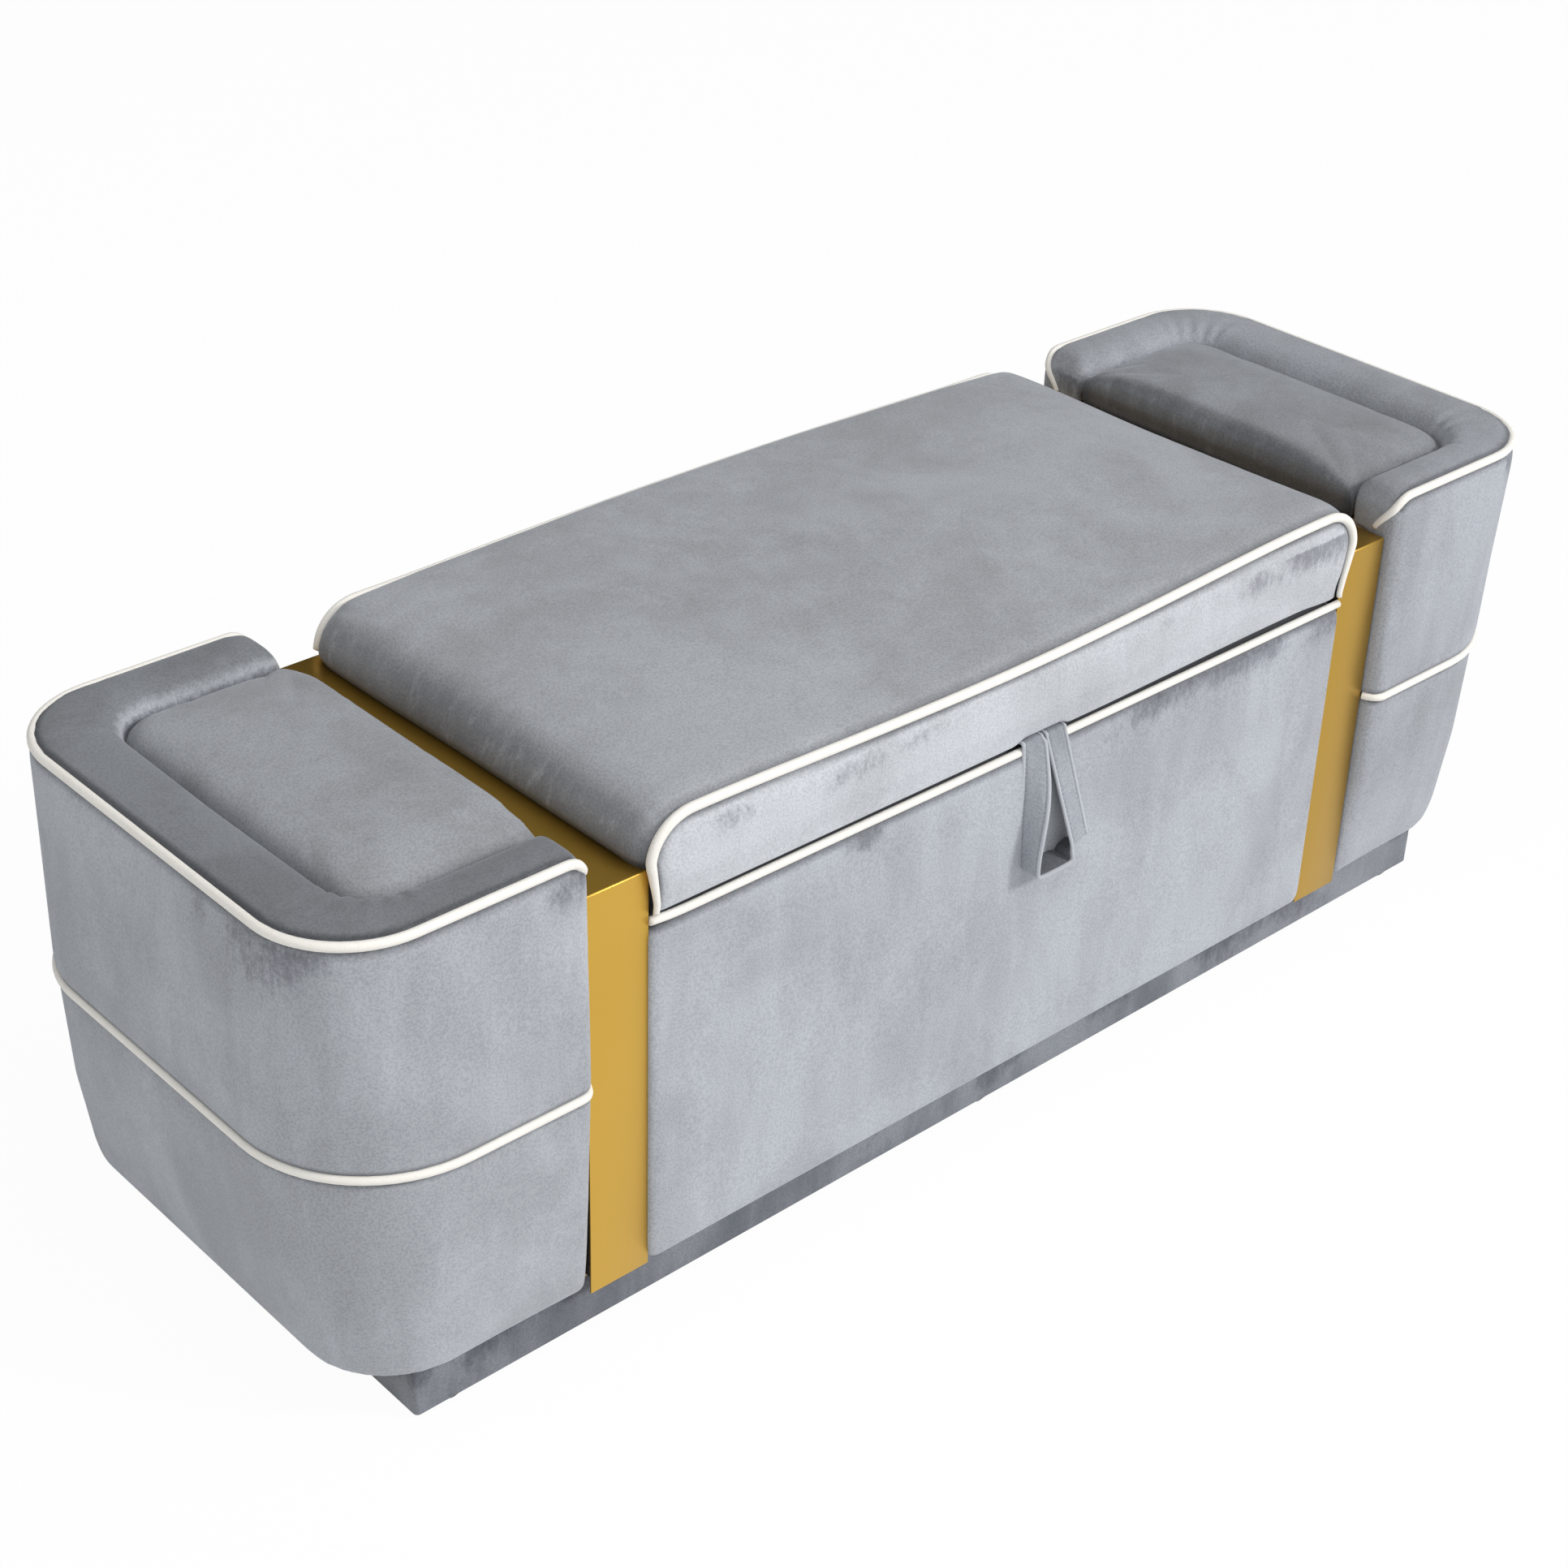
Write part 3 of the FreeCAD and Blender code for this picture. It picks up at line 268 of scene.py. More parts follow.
def diced(piece, cuts):
    """Cuts all faces into smaller ones, in edit mode."""
    pick(piece, "FACE", lambda middle, normal: True)
    bpy.ops.mesh.subdivide(number_cuts=cuts)


def modify(piece, kind, **settings):
    """Adds a modifier and applies it."""
    only(piece)
    made = piece.modifiers.new(kind.lower(), kind)
    for name, value in settings.items():
        setattr(made, name, value)
    bpy.ops.object.modifier_apply(modifier=made.name)


def crisp(angle):
    """Shades the active piece smooth where it turns by less than an angle in degrees."""
    bpy.ops.object.shade_smooth_by_angle(angle=math.radians(angle))


def softened(piece, width, segments, over, smooth_to):
    """Rounds the edges that turn by more than one angle, and shades smooth what turns less than another."""
    modify(piece, "BEVEL", width=width, segments=segments, limit_method="ANGLE",
           angle_limit=math.radians(over))
    crisp(smooth_to)


def upright(start, stop):
    return abs(start.z - stop.z) > 1e-6 and (start - stop).xy.length < 1e-6


def velvet(name, shaded, lit, top_shade=0.85, seam_z=None, reach=0.05, worn_x=None, end_shade=1.0):
    """Short velvet pile: soft smudges and fine grain; painted shade where it faces up, and, when end_shade
    is below 1, where it faces along the bench, more so low on those ends; ruffled pile below a seam, more
    of it beyond worn_x; and painted shade in the creases beside seams."""
    paint = Paint(name, Roughness=0.92, Sheen_Weight=0.28, Sheen_Roughness=0.45,
                  Sheen_Tint=(0.90, 0.94, 1.0, 1), Specular_IOR_Level=0.15)
    smudge = paint.cloud(6.0, 4.0, None, 0.52, 0.8)
    brushed = paint.cloud(1.0, 3.0, paint.stretched((34.0, 34.0, 9.0)), 0.6, 0.5)
    grain = paint.cloud(560.0, 2.0)
    tufts = paint.cloud(1.0, 8.0, paint.stretched((160.0, 160.0, 85.0)), 0.8)
    marks = paint.step(smudge * 0.7 + brushed * 0.3, 0.34, 0.66)
    tone = paint.blended(marks, shaded, lit)
    normal = paint.node("ShaderNodeTexCoord", {}, {}, "Normal")
    facing = paint.coordinate("Z", normal)
    height = paint.coordinate("Z")
    # Painted shade: what faces up is darkened by top_shade, as less light falls on it.
    facing_up_shade = paint.step(facing + tufts * 0.5 - 0.25, 0.3, 0.85)
    tone = paint.dimmed(facing_up_shade, tone, (top_shade,) * 3)
    # Painted shade: what faces along the bench is darkened by end_shade, and more near the foot of the
    # lid's ends just above the bands.
    if end_shade < 1:
        sideways = paint.coordinate("X", normal)
        endward = sideways * sideways
        streaks = paint.step(paint.cloud(1.0, 5.0, paint.stretched((40.0, 90.0, 30.0)), 0.7), 0.50, 0.72)
        drawn = paint.step(endward, 0.03, 0.7) * (1 - streaks * 0.5)
        tone = paint.dimmed(drawn, tone, (end_shade,) * 3)
        band_top = 0.402
        for shade_top, shade in ((0.43, (0.55, 0.55, 0.56)), (0.408, (0.30, 0.30, 0.30))):
            low = paint.step(endward, 0.15, 0.6) * (1 - paint.step(height, band_top, shade_top))
            tone = paint.dimmed(low, tone, shade)
    if seam_z:
        below = seam_z - height
        worn = paint.cloud(9.0, 2.0)
        if worn_x is not None:
            worn = worn + paint.step(paint.coordinate("X"), worn_x - 0.03, worn_x + 0.03) * 0.18 - 0.08
        patches = paint.step(worn, 0.46, 0.62) * (1 - paint.step(facing, 0.1, 0.5))
        density = patches * paint.step(below, -0.002, 0.002) * (1 - paint.step(below, 0.0, reach))
        ruffled = paint.step(tufts + density * 0.45, 0.58, 0.98)
        tone = paint.dimmed(ruffled, tone, (0.52, 0.52, 0.54))
    # Painted shade in the creases beside the seams, from the crease attribute.
    crease = paint.node("ShaderNodeAttribute", {"attribute_name": "crease"}, {}, "Fac")
    tone = paint.dimmed(crease, tone, (0.36, 0.36, 0.37))
    paint.feed("Base Color", paint.dimmed(paint.step(grain, 0.38, 0.66), tone, (0.82, 0.82, 0.83)))
    paint.relief(grain * 0.6 + brushed * 0.4, 0.0006)
    return paint


plinth_low, plinth_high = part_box("plinth_cover")
plinth_cloth = 0.002
plinth_corner = 0.004
sleeve = block("velvet_plinth_sleeve", plinth_low, plinth_high)
cut_away(sleeve, lambda middle, normal: abs(normal.z) > 0.5)
pick(sleeve, "EDGE", upright)
bpy.ops.mesh.bevel(offset=plinth_corner, segments=4, affect="EDGES")
modify(sleeve, "SOLIDIFY", thickness=plinth_cloth * 0.9, offset=-1)
softened(sleeve, 0.0006, 2, over=30, smooth_to=35)
# Painted shade: the plinth takes a darker copy of the velvet.
plinth_velvet = velvet("plinth_velvet", (0.13, 0.14, 0.16), (0.27, 0.285, 0.31), seam_z=0.05, reach=0.08)
placed(sleeve, plinth_velvet, "bench", "plinth_velvet", "plinth_cover")

# Storage lining: black spunbonded cloth glued to the inside of the walls, a little slack between its
# glue lines, and turned over their top edges. The hardboard floor panel is covered in the same cloth.
lining_cloth = Paint("lining_cloth", Roughness=0.9, Specular_IOR_Level=0.2)
dot_values = {"Vector": lining_cloth.place, "Scale": 420.0}
dots = lining_cloth.node("ShaderNodeTexVoronoi", {}, dot_values, "Distance")
fibres = lining_cloth.cloud(900.0, 3.0)
lining_cloth.tinted(fibres, (0.012, 0.012, 0.013), (0.045, 0.045, 0.048))
lining_cloth.relief(dots * 0.7 + fibres * 0.3, 0.0003)
dress(nodes["storage_floor"], lining_cloth)
lining_low, lining_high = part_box("storage_lining")
lining_slack = 0.0012
lining_turn = 0.0175
lining_gap = Vector((0.0003, 0.0003, 0))
lining = block("lining_bag", lining_low + lining_gap, lining_high - lining_gap)
cut_away(lining, lambda middle, normal: abs(normal.z) > 0.5)
diced(lining, 48)
bpy.ops.mesh.flip_normals()
pick(lining, "EDGE", lambda start, stop: min(start.z, stop.z) > lining_high.z - 0.0001)
bpy.ops.mesh.extrude_edges_indiv()
turned_out = (1 + lining_turn / lining_high.x, 1 + lining_turn / lining_high.y, 1)
bpy.ops.transform.resize(value=turned_out, center_override=(0, 0, lining_high.z))
bpy.ops.object.mode_set(mode="OBJECT")
for point in lining.data.vertices:
    on_long_wall = abs(point.co.x) < lining_high.x - 0.02 and point.co.z < lining_high.z - 0.0001
    drop = (point.co.z - lining_low.z) / (lining_high.z - lining_low.z)
    slack = max(0.0, math.sin(math.pi * drop)) * lining_slack
    if on_long_wall:
        wave = noise.noise(Vector((point.co.x * 9, point.co.y * 9, point.co.z * 4)))
        point.co.y -= math.copysign(slack * (0.5 + 0.5 * wave), point.co.y)
modify(lining, "SOLIDIFY", thickness=0.0006, offset=1)
crisp(35)
placed(lining, lining_cloth, "bench", "lining", "storage_lining")


# Front and back panels: foam on the box walls under a panel of velvet that is pulled over its
# edges. The foam pushes the cloth out between the edges that hold it.
def distance_from(*names):
    """A function that gives how far a point is from the nearest of some CAD nodes."""
    trees = []
    for name in names:
        mesh = nodes[name].data
        corners = [list(face.vertices) for face in mesh.polygons]
        trees.append(BVHTree.FromPolygons([point.co for point in mesh.vertices], corners))
    return lambda spot: min(tree.find_nearest(spot)[3] for tree in trees)


def spots_of(mesh):
    spots = np.zeros(len(mesh.vertices) * 3, np.float32)
    mesh.vertices.foreach_get("co", spots)
    return spots.reshape(-1, 3).astype(float)


def put_spots(mesh, spots):
    mesh.vertices.foreach_set("co", np.asarray(spots, np.float32).ravel())
    mesh.update()


def linked(name, data):
    """A new object in the scene."""
    piece = bpy.data.objects.new(name, data)
    bpy.context.scene.collection.objects.link(piece)
    return piece


def even_skin(name, solids, voxel, smoothing):
    """Copies CAD solids, joined if there are several, as one even skin of small faces."""
    copies = [linked(name, nodes[node].data.copy()) for node in solids]
    piece = copies[0]
    only(piece)
    for other in copies:
        other.select_set(True)
    if len(copies) > 1:
        bpy.ops.object.join()
    piece.data.materials.clear()
    bpy.ops.object.mode_set(mode="EDIT")
    bpy.ops.mesh.select_all(action="SELECT")
    bpy.ops.mesh.remove_doubles(threshold=1e-5)
    bpy.ops.object.mode_set(mode="OBJECT")
    bpy.ops.mesh.customdata_custom_splitnormals_clear()
    modify(piece, "REMESH", mode="VOXEL", voxel_size=voxel)
    modify(piece, "SMOOTH", factor=0.5, iterations=smoothing)
    return piece


def puff(piece, held, cap, along=(1, 1, 1)):
    """Cloth pressure swells the skin where held(spot) is false, by cap at most, in each axis' share."""
    rest = spots_of(piece.data)
    group = piece.vertex_groups.new(name="held")
    group.add([i for i, spot in enumerate(rest) if held(Vector(spot))], 1.0, "REPLACE")
    only(piece)
    cloth = piece.modifiers.new("puff", "CLOTH")
    stuff = {"quality": 4, "mass": 0.002, "tension_stiffness": 20, "compression_stiffness": 20,
             "shear_stiffness": 10, "bending_stiffness": 2, "use_pressure": True,
             "uniform_pressure_force": 4.0, "vertex_group_mass": "held"}
    for name, value in stuff.items():
        setattr(cloth.settings, name, value)
    cloth.settings.effector_weights.gravity = 0
    cloth.collision_settings.use_collision = False
    cloth.point_cache.frame_start = 1
    cloth.point_cache.frame_end = 20
    for moment in range(1, 21):
        bpy.context.scene.frame_set(moment)
    swollen = spots_of(piece.evaluated_get(bpy.context.evaluated_depsgraph_get()).data)
    piece.modifiers.remove(cloth)
    bpy.context.scene.frame_set(1)
    move = (swollen - rest) * np.array(along)
    length = np.linalg.norm(move, axis=1)
    most = np.percentile(length, 99)
    if most > cap:
        move *= cap / most
        length *= cap / most
    move *= (np.minimum(length, cap) / np.maximum(length, 1e-9))[:, None]
    put_spots(piece.data, rest + move)
    piece.vertex_groups.clear()


def eased(value, low, high):
    share = min(max((value - low) / (high - low), 0.0), 1.0)
    return share * share * (3 - 2 * share)


def creased(piece, reach, *seams):
    """Marks how near each point is to a seam, for the shade in the crease."""
    marks = piece.data.attributes.new("crease", "FLOAT", "POINT")
    for point, mark in zip(piece.data.vertices, marks.data):
        mark.value = 1 - eased(min(seam(point.co) for seam in seams), 0.001, reach)


def swell(piece, sunk, height, width, seam, share):
    """Rolls the cloth out from a seam: sunk there, steep beside it, and height above that at width."""
    moves = []
    for point in piece.data.vertices:
        from_full = 1 - min(seam(point.co) / width, 1.0)
        rise = height * math.sqrt(1 - from_full ** 2) - sunk
        moves.append(point.normal * rise * share(point.co))
    for point, move in zip(piece.data.vertices, moves):
        point.co += move
    piece.data.update()


def sewn(piece, paint, body, slot, fill, *stands_for):
    """Finishes a padded piece: smooth skin, material, and what it stands for."""
    modify(piece, "SUBSURF", levels=1, render_levels=1)
    bpy.ops.object.shade_smooth()
    placed(piece, paint, body, slot, *stands_for)


# Painted shade: top_shade darkens the panel's top, which shows only in the dark gap under the lid.
front_velvet = velvet("front_velvet", (0.345, 0.358, 0.382), (0.45, 0.472, 0.505), top_shade=0.30,
                      seam_z=0.352, reach=0.04, worn_x=0.04)
panel_voxel = 0.006
panel_border = 0.008
crease_reach = 0.0055
near_front_seam = distance_from("front_panel_piping")
front_panel = even_skin("velvet_front_panel", ["front_panel_pad"], panel_voxel, 4)
panel_low, panel_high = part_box("front_panel_pad")
creased(front_panel, crease_reach, near_front_seam)


def front_panel_held(spot):
    at_edge = min(spot.x - panel_low.x, panel_high.x - spot.x, spot.z - panel_low.z) < panel_border
    return spot.y > panel_low.y + panel_border or at_edge or near_front_seam(spot) < 0.004


def on_front_face(spot):
    return eased(panel_low.y + 0.006 - spot.y, 0.0, 0.004) * eased(spot.z - panel_low.z, 0.004, 0.016)


puff(front_panel, front_panel_held, 0.003)
swell(front_panel, sunk=0.0015, height=0.0025, width=0.012, seam=near_front_seam, share=on_front_face)
panel_proud = 0.0035
panel_spread = 0.003
for point in front_panel.data.vertices:
    at_front = eased(-point.co.y, 0.186, 0.196)
    at_end = eased(abs(point.co.x), 0.34, 0.375)
    point.co.y -= panel_proud * at_front
    point.co.x += math.copysign(panel_spread * at_front * at_end, point.co.x)
sewn(front_panel, front_velvet, "bench", "velvet", 0.85, "front_panel_pad")

back_panel = even_skin("velvet_back_panel", ["back_panel_pad"], panel_voxel, 4)
back_low, back_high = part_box("back_panel_pad")


def back_panel_held(spot):
    from_end = min(spot.x - back_low.x, back_high.x - spot.x)
    from_edge = min(spot.z - back_low.z, back_high.z - spot.z)
    return spot.y < back_high.y - panel_border or min(from_end, from_edge) < panel_border


puff(back_panel, back_panel_held, 0.004)
sewn(back_panel, front_velvet, "bench", "velvet", 0.85, "back_panel_pad")


# Piping: cotton cord in a bias strip of ivory cloth, sewn into the seams. This one runs along the
# top edge of the front panel, its ends tucked in beside the bands.
def piping(name, knots, radius, tip=1.0):
    """A round cord through knots of spot, heading, reach back and reach on, its ends thinned to tip."""
    curve = bpy.data.curves.new(name, "CURVE")
    curve.dimensions = "3D"
    curve.bevel_depth = radius
    curve.bevel_resolution = 5
    curve.resolution_u = 16
    curve.use_fill_caps = True
    line = curve.splines.new("BEZIER")
    line.bezier_points.add(len(knots) - 1)
    for point, (spot, heading, back, on) in zip(line.bezier_points, knots):
        heading = Vector(heading).normalized()
        point.co = spot
        point.handle_left_type = point.handle_right_type = "FREE"
        point.handle_left = Vector(spot) - heading * back
        point.handle_right = Vector(spot) + heading * on
    line.bezier_points[0].radius = line.bezier_points[-1].radius = tip
    only(linked(name, curve))
    bpy.ops.object.convert(target="MESH")
    bpy.ops.object.mode_set(mode="EDIT")
    bpy.ops.mesh.select_all(action="SELECT")
    bpy.ops.mesh.remove_doubles(threshold=1e-6)
    bpy.ops.mesh.normals_make_consistent(inside=False)
    bpy.ops.object.mode_set(mode="OBJECT")
    bpy.ops.object.shade_smooth()
    return bpy.context.active_object


ivory = Paint("ivory_piping", Roughness=0.62, Sheen_Weight=0.1, Sheen_Roughness=0.4)
weave = ivory.cloud(1500.0, 2.0)
soiled = ivory.cloud(25.0, 3.0)
thread = ivory.blended(weave, (0.80, 0.77, 0.71), (0.90, 0.875, 0.82))
ivory.tinted(ivory.step(soiled, 0.55, 0.8) * 0.35, thread, (0.76, 0.72, 0.65))
ivory.relief(weave, 0.0004)

seam_low, seam_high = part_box("front_panel_piping")
seam_radius = 0.0034
seam_y = (seam_low.y + seam_high.y) / 2 - panel_proud
seam_z = (seam_low.z + seam_high.z) / 2
along = Vector((1, 0, 0))
tuck = 0.0025
front_seam = piping("piping_front_panel", [
    ((seam_low.x, seam_y, seam_z + tuck), (1, 0, -0.15), 0, 0.02),
    ((seam_low.x + 0.06, seam_y, seam_z), along, 0.02, 0.2),
    ((0.05, seam_y, seam_z - 0.0006), along, 0.2, 0.2),
    ((seam_high.x, seam_y, seam_z), along, 0.1, 0),
], seam_radius)
placed(front_seam, ivory, "bench", "piping", "front_panel_piping")


# Gold bands: strips of stainless sheet with a satin gold coat, folded over the front, top and back
# of a timber frame on each side of the box. The folds are tight and their edges catch the light.
gold = Paint("satin_gold", Metallic=1.0, Roughness=0.34)
brushing = gold.cloud(1.0, 3.0, gold.stretched((900.0, 30.0, 30.0)))
patches = gold.cloud(6.0, 3.0)
coat = gold.blended(patches, (0.62, 0.375, 0.062), (0.70, 0.44, 0.088))
# Painted shade: the right band's coat is darkened, as less light falls on that end.
right_band_shade = gold.step(gold.coordinate("X"), 0.30, 0.36)
gold.feed("Base Color", gold.dimmed(right_band_shade, coat, (0.78, 0.78, 0.84)))
gold.feed("Roughness", brushing * 0.08 + patches * 0.08 + 0.33)
gold.relief(brushing, 0.00003)
band_gauge = 0.0015
band_bend = 0.0015
for side in ("left", "right"):
    low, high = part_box(f"{side}_band")
    band = block(f"gold_{side}_band", low, high)
    cut_away(band, lambda middle, normal: abs(normal.x) > 0.5 or normal.z < -0.5)
    pick(band, "EDGE", lambda start, stop: abs(start.x - stop.x) > 0.01 and start.z > high.z - 0.001)
    bpy.ops.mesh.bevel(offset=band_bend, segments=8, affect="EDGES")
    modify(band, "SOLIDIFY", thickness=band_gauge, offset=-1)
    softened(band, 0.0005, 2, over=60, smooth_to=35)
    placed(band, gold, "bench", "gold", f"{side}_band")

# Arms: foam on a board frame under velvet. The lower cover and the upper cover meet at a piped seam at
# the widest place. The upper cover ends at the top piping, where the stuffed rim is sewn to it, and a
# loose-edged pad fills the well inside the rim.
# Painted light and shade: top_shade darkens what faces up, most on the rim; the right arm and right pad
# take darker copies of the velvet, as less light falls on that end; and end_shade darkens the right pad's
# inner face.
arm_velvet = velvet("arm_velvet", (0.35, 0.364, 0.388), (0.46, 0.482, 0.515), top_shade=0.46,
                    seam_z=0.432, reach=0.07)
lower_velvet = velvet("lower_velvet", (0.355, 0.369, 0.393), (0.455, 0.477, 0.51), top_shade=0.75)
pad_velvet = velvet("pad_velvet", (0.36, 0.369, 0.386), (0.46, 0.477, 0.505), top_shade=0.74)
right_arm_shaded_velvet = velvet("right_arm_shaded_velvet", (0.305, 0.316, 0.336), (0.41, 0.428, 0.462), top_shade=0.80,
                          seam_z=0.432, reach=0.07)
right_pad_shaded_velvet = velvet("right_pad_shaded_velvet", (0.29, 0.299, 0.315), (0.39, 0.406, 0.434), top_shade=0.74,
                          end_shade=0.6)
left_boards = [f"left_arm_{board}" for board in arm_boards]
near_boards = distance_from(*left_boards, "base_deck", "left_band_frame")
near_mid_seam = distance_from("left_arm_mid_piping")
near_top_seam = distance_from("left_arm_top_piping")
near_rim = distance_from("left_arm_rim")
near_pad = distance_from("left_arm_pad")
lower_low, lower_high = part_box("left_arm_lower_cover")
arm_inner = 0.435
band_face = 0.4361
pad_crease_reach = 0.021
pad_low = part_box("left_arm_pad")[0]


def lower_held(spot):
    return (near_boards(spot) < 0.004 or near_mid_seam(spot) < 0.004 or spot.z < lower_low.z + 0.006
            or spot.x > lower_high.x - 0.006)


def upper_held(spot):
    return (near_boards(spot) < 0.005 or near_mid_seam(spot) < 0.004 or near_top_seam(spot) < 0.0035
            or (spot.x > lower_high.x - 0.006 and spot.z < 0.41))


def pad_held(spot):
    return spot.z < pad_low.z + 0.010


def snug(piece):
    """Brings the inner edge, which the smoothing has drawn back, up to the band again."""
    drawn = max(point.co.x for point in piece.data.vertices)
    reach = 0.018
    fill = 0.0012
    foot_fill = 0.004
    for point in piece.data.vertices:
        near = max(0.0, 1 - (drawn - point.co.x) / reach)
        outer = eased(abs(point.co.y), 0.172, 0.186) * eased(point.co.z, 0.052, 0.06)
        foot = foot_fill * eased(point.co.x, -0.52, -0.44) * eased(-point.co.z, -0.16, -0.07)
        point.co.x += near * (-band_face - drawn)
        point.co.y += math.copysign((fill * near ** 2 + foot) * outer, point.co.y)


def puckered(piece):
    """Short radial gathers in the rim where it turns the inner corners of the well."""
    corner_x = -0.552
    corner_y = 0.121
    gather_from_corner = 0.046
    gather_reach = 0.014
    gather_height = 0.0016
    gathers_round = 22
    for point in piece.data.vertices:
        out = Vector((corner_x - point.co.x, abs(point.co.y) - corner_y))
        if min(out) > 0 and point.co.z > 0.405 and out.length > 0.02:
            fade = math.exp(-abs(out.length - gather_from_corner) / gather_reach)
            point.co.z += gather_height * fade * math.sin(math.atan2(out.y, out.x) * gathers_round)


def mirrored(piece, name):
    """The same piece for the right end of the bench, with a mesh of its own."""
    twin = linked(name, piece.data.copy())
    twin.data.transform(Matrix.Scale(-1, 4, (1, 0, 0)))
    twin.data.flip_normals()
    return twin


def clear_of_band(spot):
    """No swelling against the boards, the band or the underside."""
    return (eased(near_boards(spot), 0.006, 0.014) * eased(abs(spot.x) - arm_inner, 0.0, 0.012)
            * eased(spot.z, lower_low.z + 0.004, lower_low.z + 0.03))


def pad_share(spot):
    """The pad's top alone swells, and less beside the band."""
    band_reach = 0.018
    held_back = 0.6
    from_band = 1 - min(max(abs(spot.x) - arm_inner, 0.0) / band_reach, 1.0)
    return eased(spot.z, pad_low.z + 0.012, pad_low.z + 0.022) * (1 - held_back * from_band ** 2)


def arm_piece(part, solids, paints, voxel, smoothing, held, cap, along, fill, rolls, seams):
    left = even_skin(f"velvet_left_arm_{part}", [f"left_arm_{solid}" for solid in solids], voxel, smoothing)
    creased(left, pad_crease_reach if part == "pad" else crease_reach, *seams)
    puff(left, held, cap, along)
    for roll in rolls:
        swell(left, *roll)
    if part == "upper_cover":
        puckered(left)
    snug(left)
    right = mirrored(left, f"velvet_right_arm_{part}")
    for side, piece, paint in zip(("left", "right"), (left, right), paints):
        sewn(piece, paint, "bench", "velvet", fill, *[f"{side}_arm_{solid}" for solid in solids])


mid_roll = (0.0004, 0.002, 0.012, near_mid_seam, clear_of_band)
top_roll = (0.0015, 0.0030, 0.016, near_top_seam, clear_of_band)
pad_roll = (0.007, 0.016, 0.027, near_rim, pad_share)
arm_piece("lower_cover", ["lower_cover"], (lower_velvet, right_arm_shaded_velvet), voxel=0.0045, smoothing=3,
          held=lower_held, cap=0.004, along=(1, 1, 1), fill=0.85, rolls=[mid_roll], seams=[near_mid_seam])
arm_piece("upper_cover", ["upper_cover", "rim"], (arm_velvet, right_arm_shaded_velvet), voxel=0.004, smoothing=4,
          held=upper_held, cap=0.004, along=(1, 1, 1), fill=0.85, rolls=[mid_roll, top_roll],
          seams=[near_mid_seam, near_top_seam, near_pad])
arm_piece("pad", ["pad"], (pad_velvet, right_pad_shaded_velvet), voxel=0.004, smoothing=6, held=pad_held,
          cap=0.006, along=(0.2, 0.2, 1), fill=0.7, rolls=[pad_roll], seams=[near_rim])

ROUND = 0.5523
mid_corner = 0.108
mid_back_corner = 0.088
top_corner = 0.074
nose_x = 0.457
cord_proud = 0.0014


def and_back(knots, axis):
    """The mirror images of a piping's knots along an axis, from the last to the first."""
    images = []
    for spot, heading, back, on in reversed(knots):
        spot = list(spot)
        heading = [-value for value in heading]
        spot[axis] = -spot[axis]
        heading[axis] = -heading[axis]
        images.append((spot, heading, on, back))
    return images


def arm_seams(side, sign):
    """Both pipings of one arm: one curls in to the band at its ends, the other turns down the rim's end."""
    low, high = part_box(f"{side}_arm_mid_piping")
    z = (low.z + high.z) / 2
    radius = 0.0036
    inner = arm_inner + 0.0022
    end = max(abs(low.x), abs(high.x)) - radius + cord_proud
    half = high.y - radius + cord_proud
    curl = 0.013
    tuck = curl * ROUND

    def half_round(corner):
        bend = corner * ROUND
        return [((sign * inner, curl - half, z), (0.35 * sign, -1, 0), 0, tuck),
                ((sign * (inner + curl), -half, z), (sign, 0, 0), tuck, 0.03),
                ((sign * (end - corner), -half, z), (sign, 0, 0), 0.03, bend),
                ((sign * end, corner - half, z), (0, 1, 0), bend, 0.06)]

    knots = half_round(mid_corner) + and_back(half_round(mid_back_corner), 1)
    cord = piping(f"piping_{side}_arm_mid", knots, radius)
    placed(cord, ivory, "bench", "piping", f"{side}_arm_mid_piping")

    low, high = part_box(f"{side}_arm_top_piping")
    radius = 0.0037
    z = high.z - radius
    end = max(abs(low.x), abs(high.x)) - radius
    half = high.y - radius
    bend = top_corner * ROUND
    turn = (sign * (arm_inner + 0.005), 0.003 - half, z - 0.010)
    tail = (sign * (arm_inner + 0.0018), 0.019 - half, 0.4045)
    knots = [(tail, (0, -0.5, 1), 0, 0.010),
             (turn, (sign * 0.55, -0.3, 0.8), 0.008, 0.007),
             ((sign * nose_x, -half, z), (sign, 0, 0), 0.010, 0.03),
             ((sign * (end - top_corner), -half, z), (sign, 0, 0), 0.03, bend),
             ((sign * end, top_corner - half, z), (0, 1, 0), bend, 0.08)]
    knots += and_back(knots, 1)
    cord = piping(f"piping_{side}_arm_top", knots, radius, tip=0.7)
    placed(cord, ivory, "bench", "piping", f"{side}_arm_top_piping")


arm_seams("left", -1)
arm_seams("right", 1)

# Lid: a plywood board with a thick foam top under one wrap of velvet, and a piped panel at the front
# and back. The front edge is drawn down in the middle, and the ends bulge a little over the bands.
# Painted light and shade: the lid takes a lighter copy of the velvet, as more light falls on its front;
# top_shade darkens its top; end_shade darkens its ends, most at their foot above the bands.
lid_lit_velvet = velvet("lid_lit_velvet", (0.455, 0.468, 0.492), (0.575, 0.595, 0.628), top_shade=0.66,
                    seam_z=0.428, reach=0.04, worn_x=0.08, end_shade=0.54)
lid_low, lid_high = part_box("lid_cushion")
near_lid_seams = distance_from("lid_front_piping", "lid_back_piping")
near_lid_board = distance_from("lid_board")
strap_x = 0.0134
lid_lean = 0.0035
lid_spread_left = 0.006
lid_spread_right = 0.0085
lid_lift = 0.0045
lid_top_lift = 0.003
lid_drop = 0.0042
lid_draw = 0.002


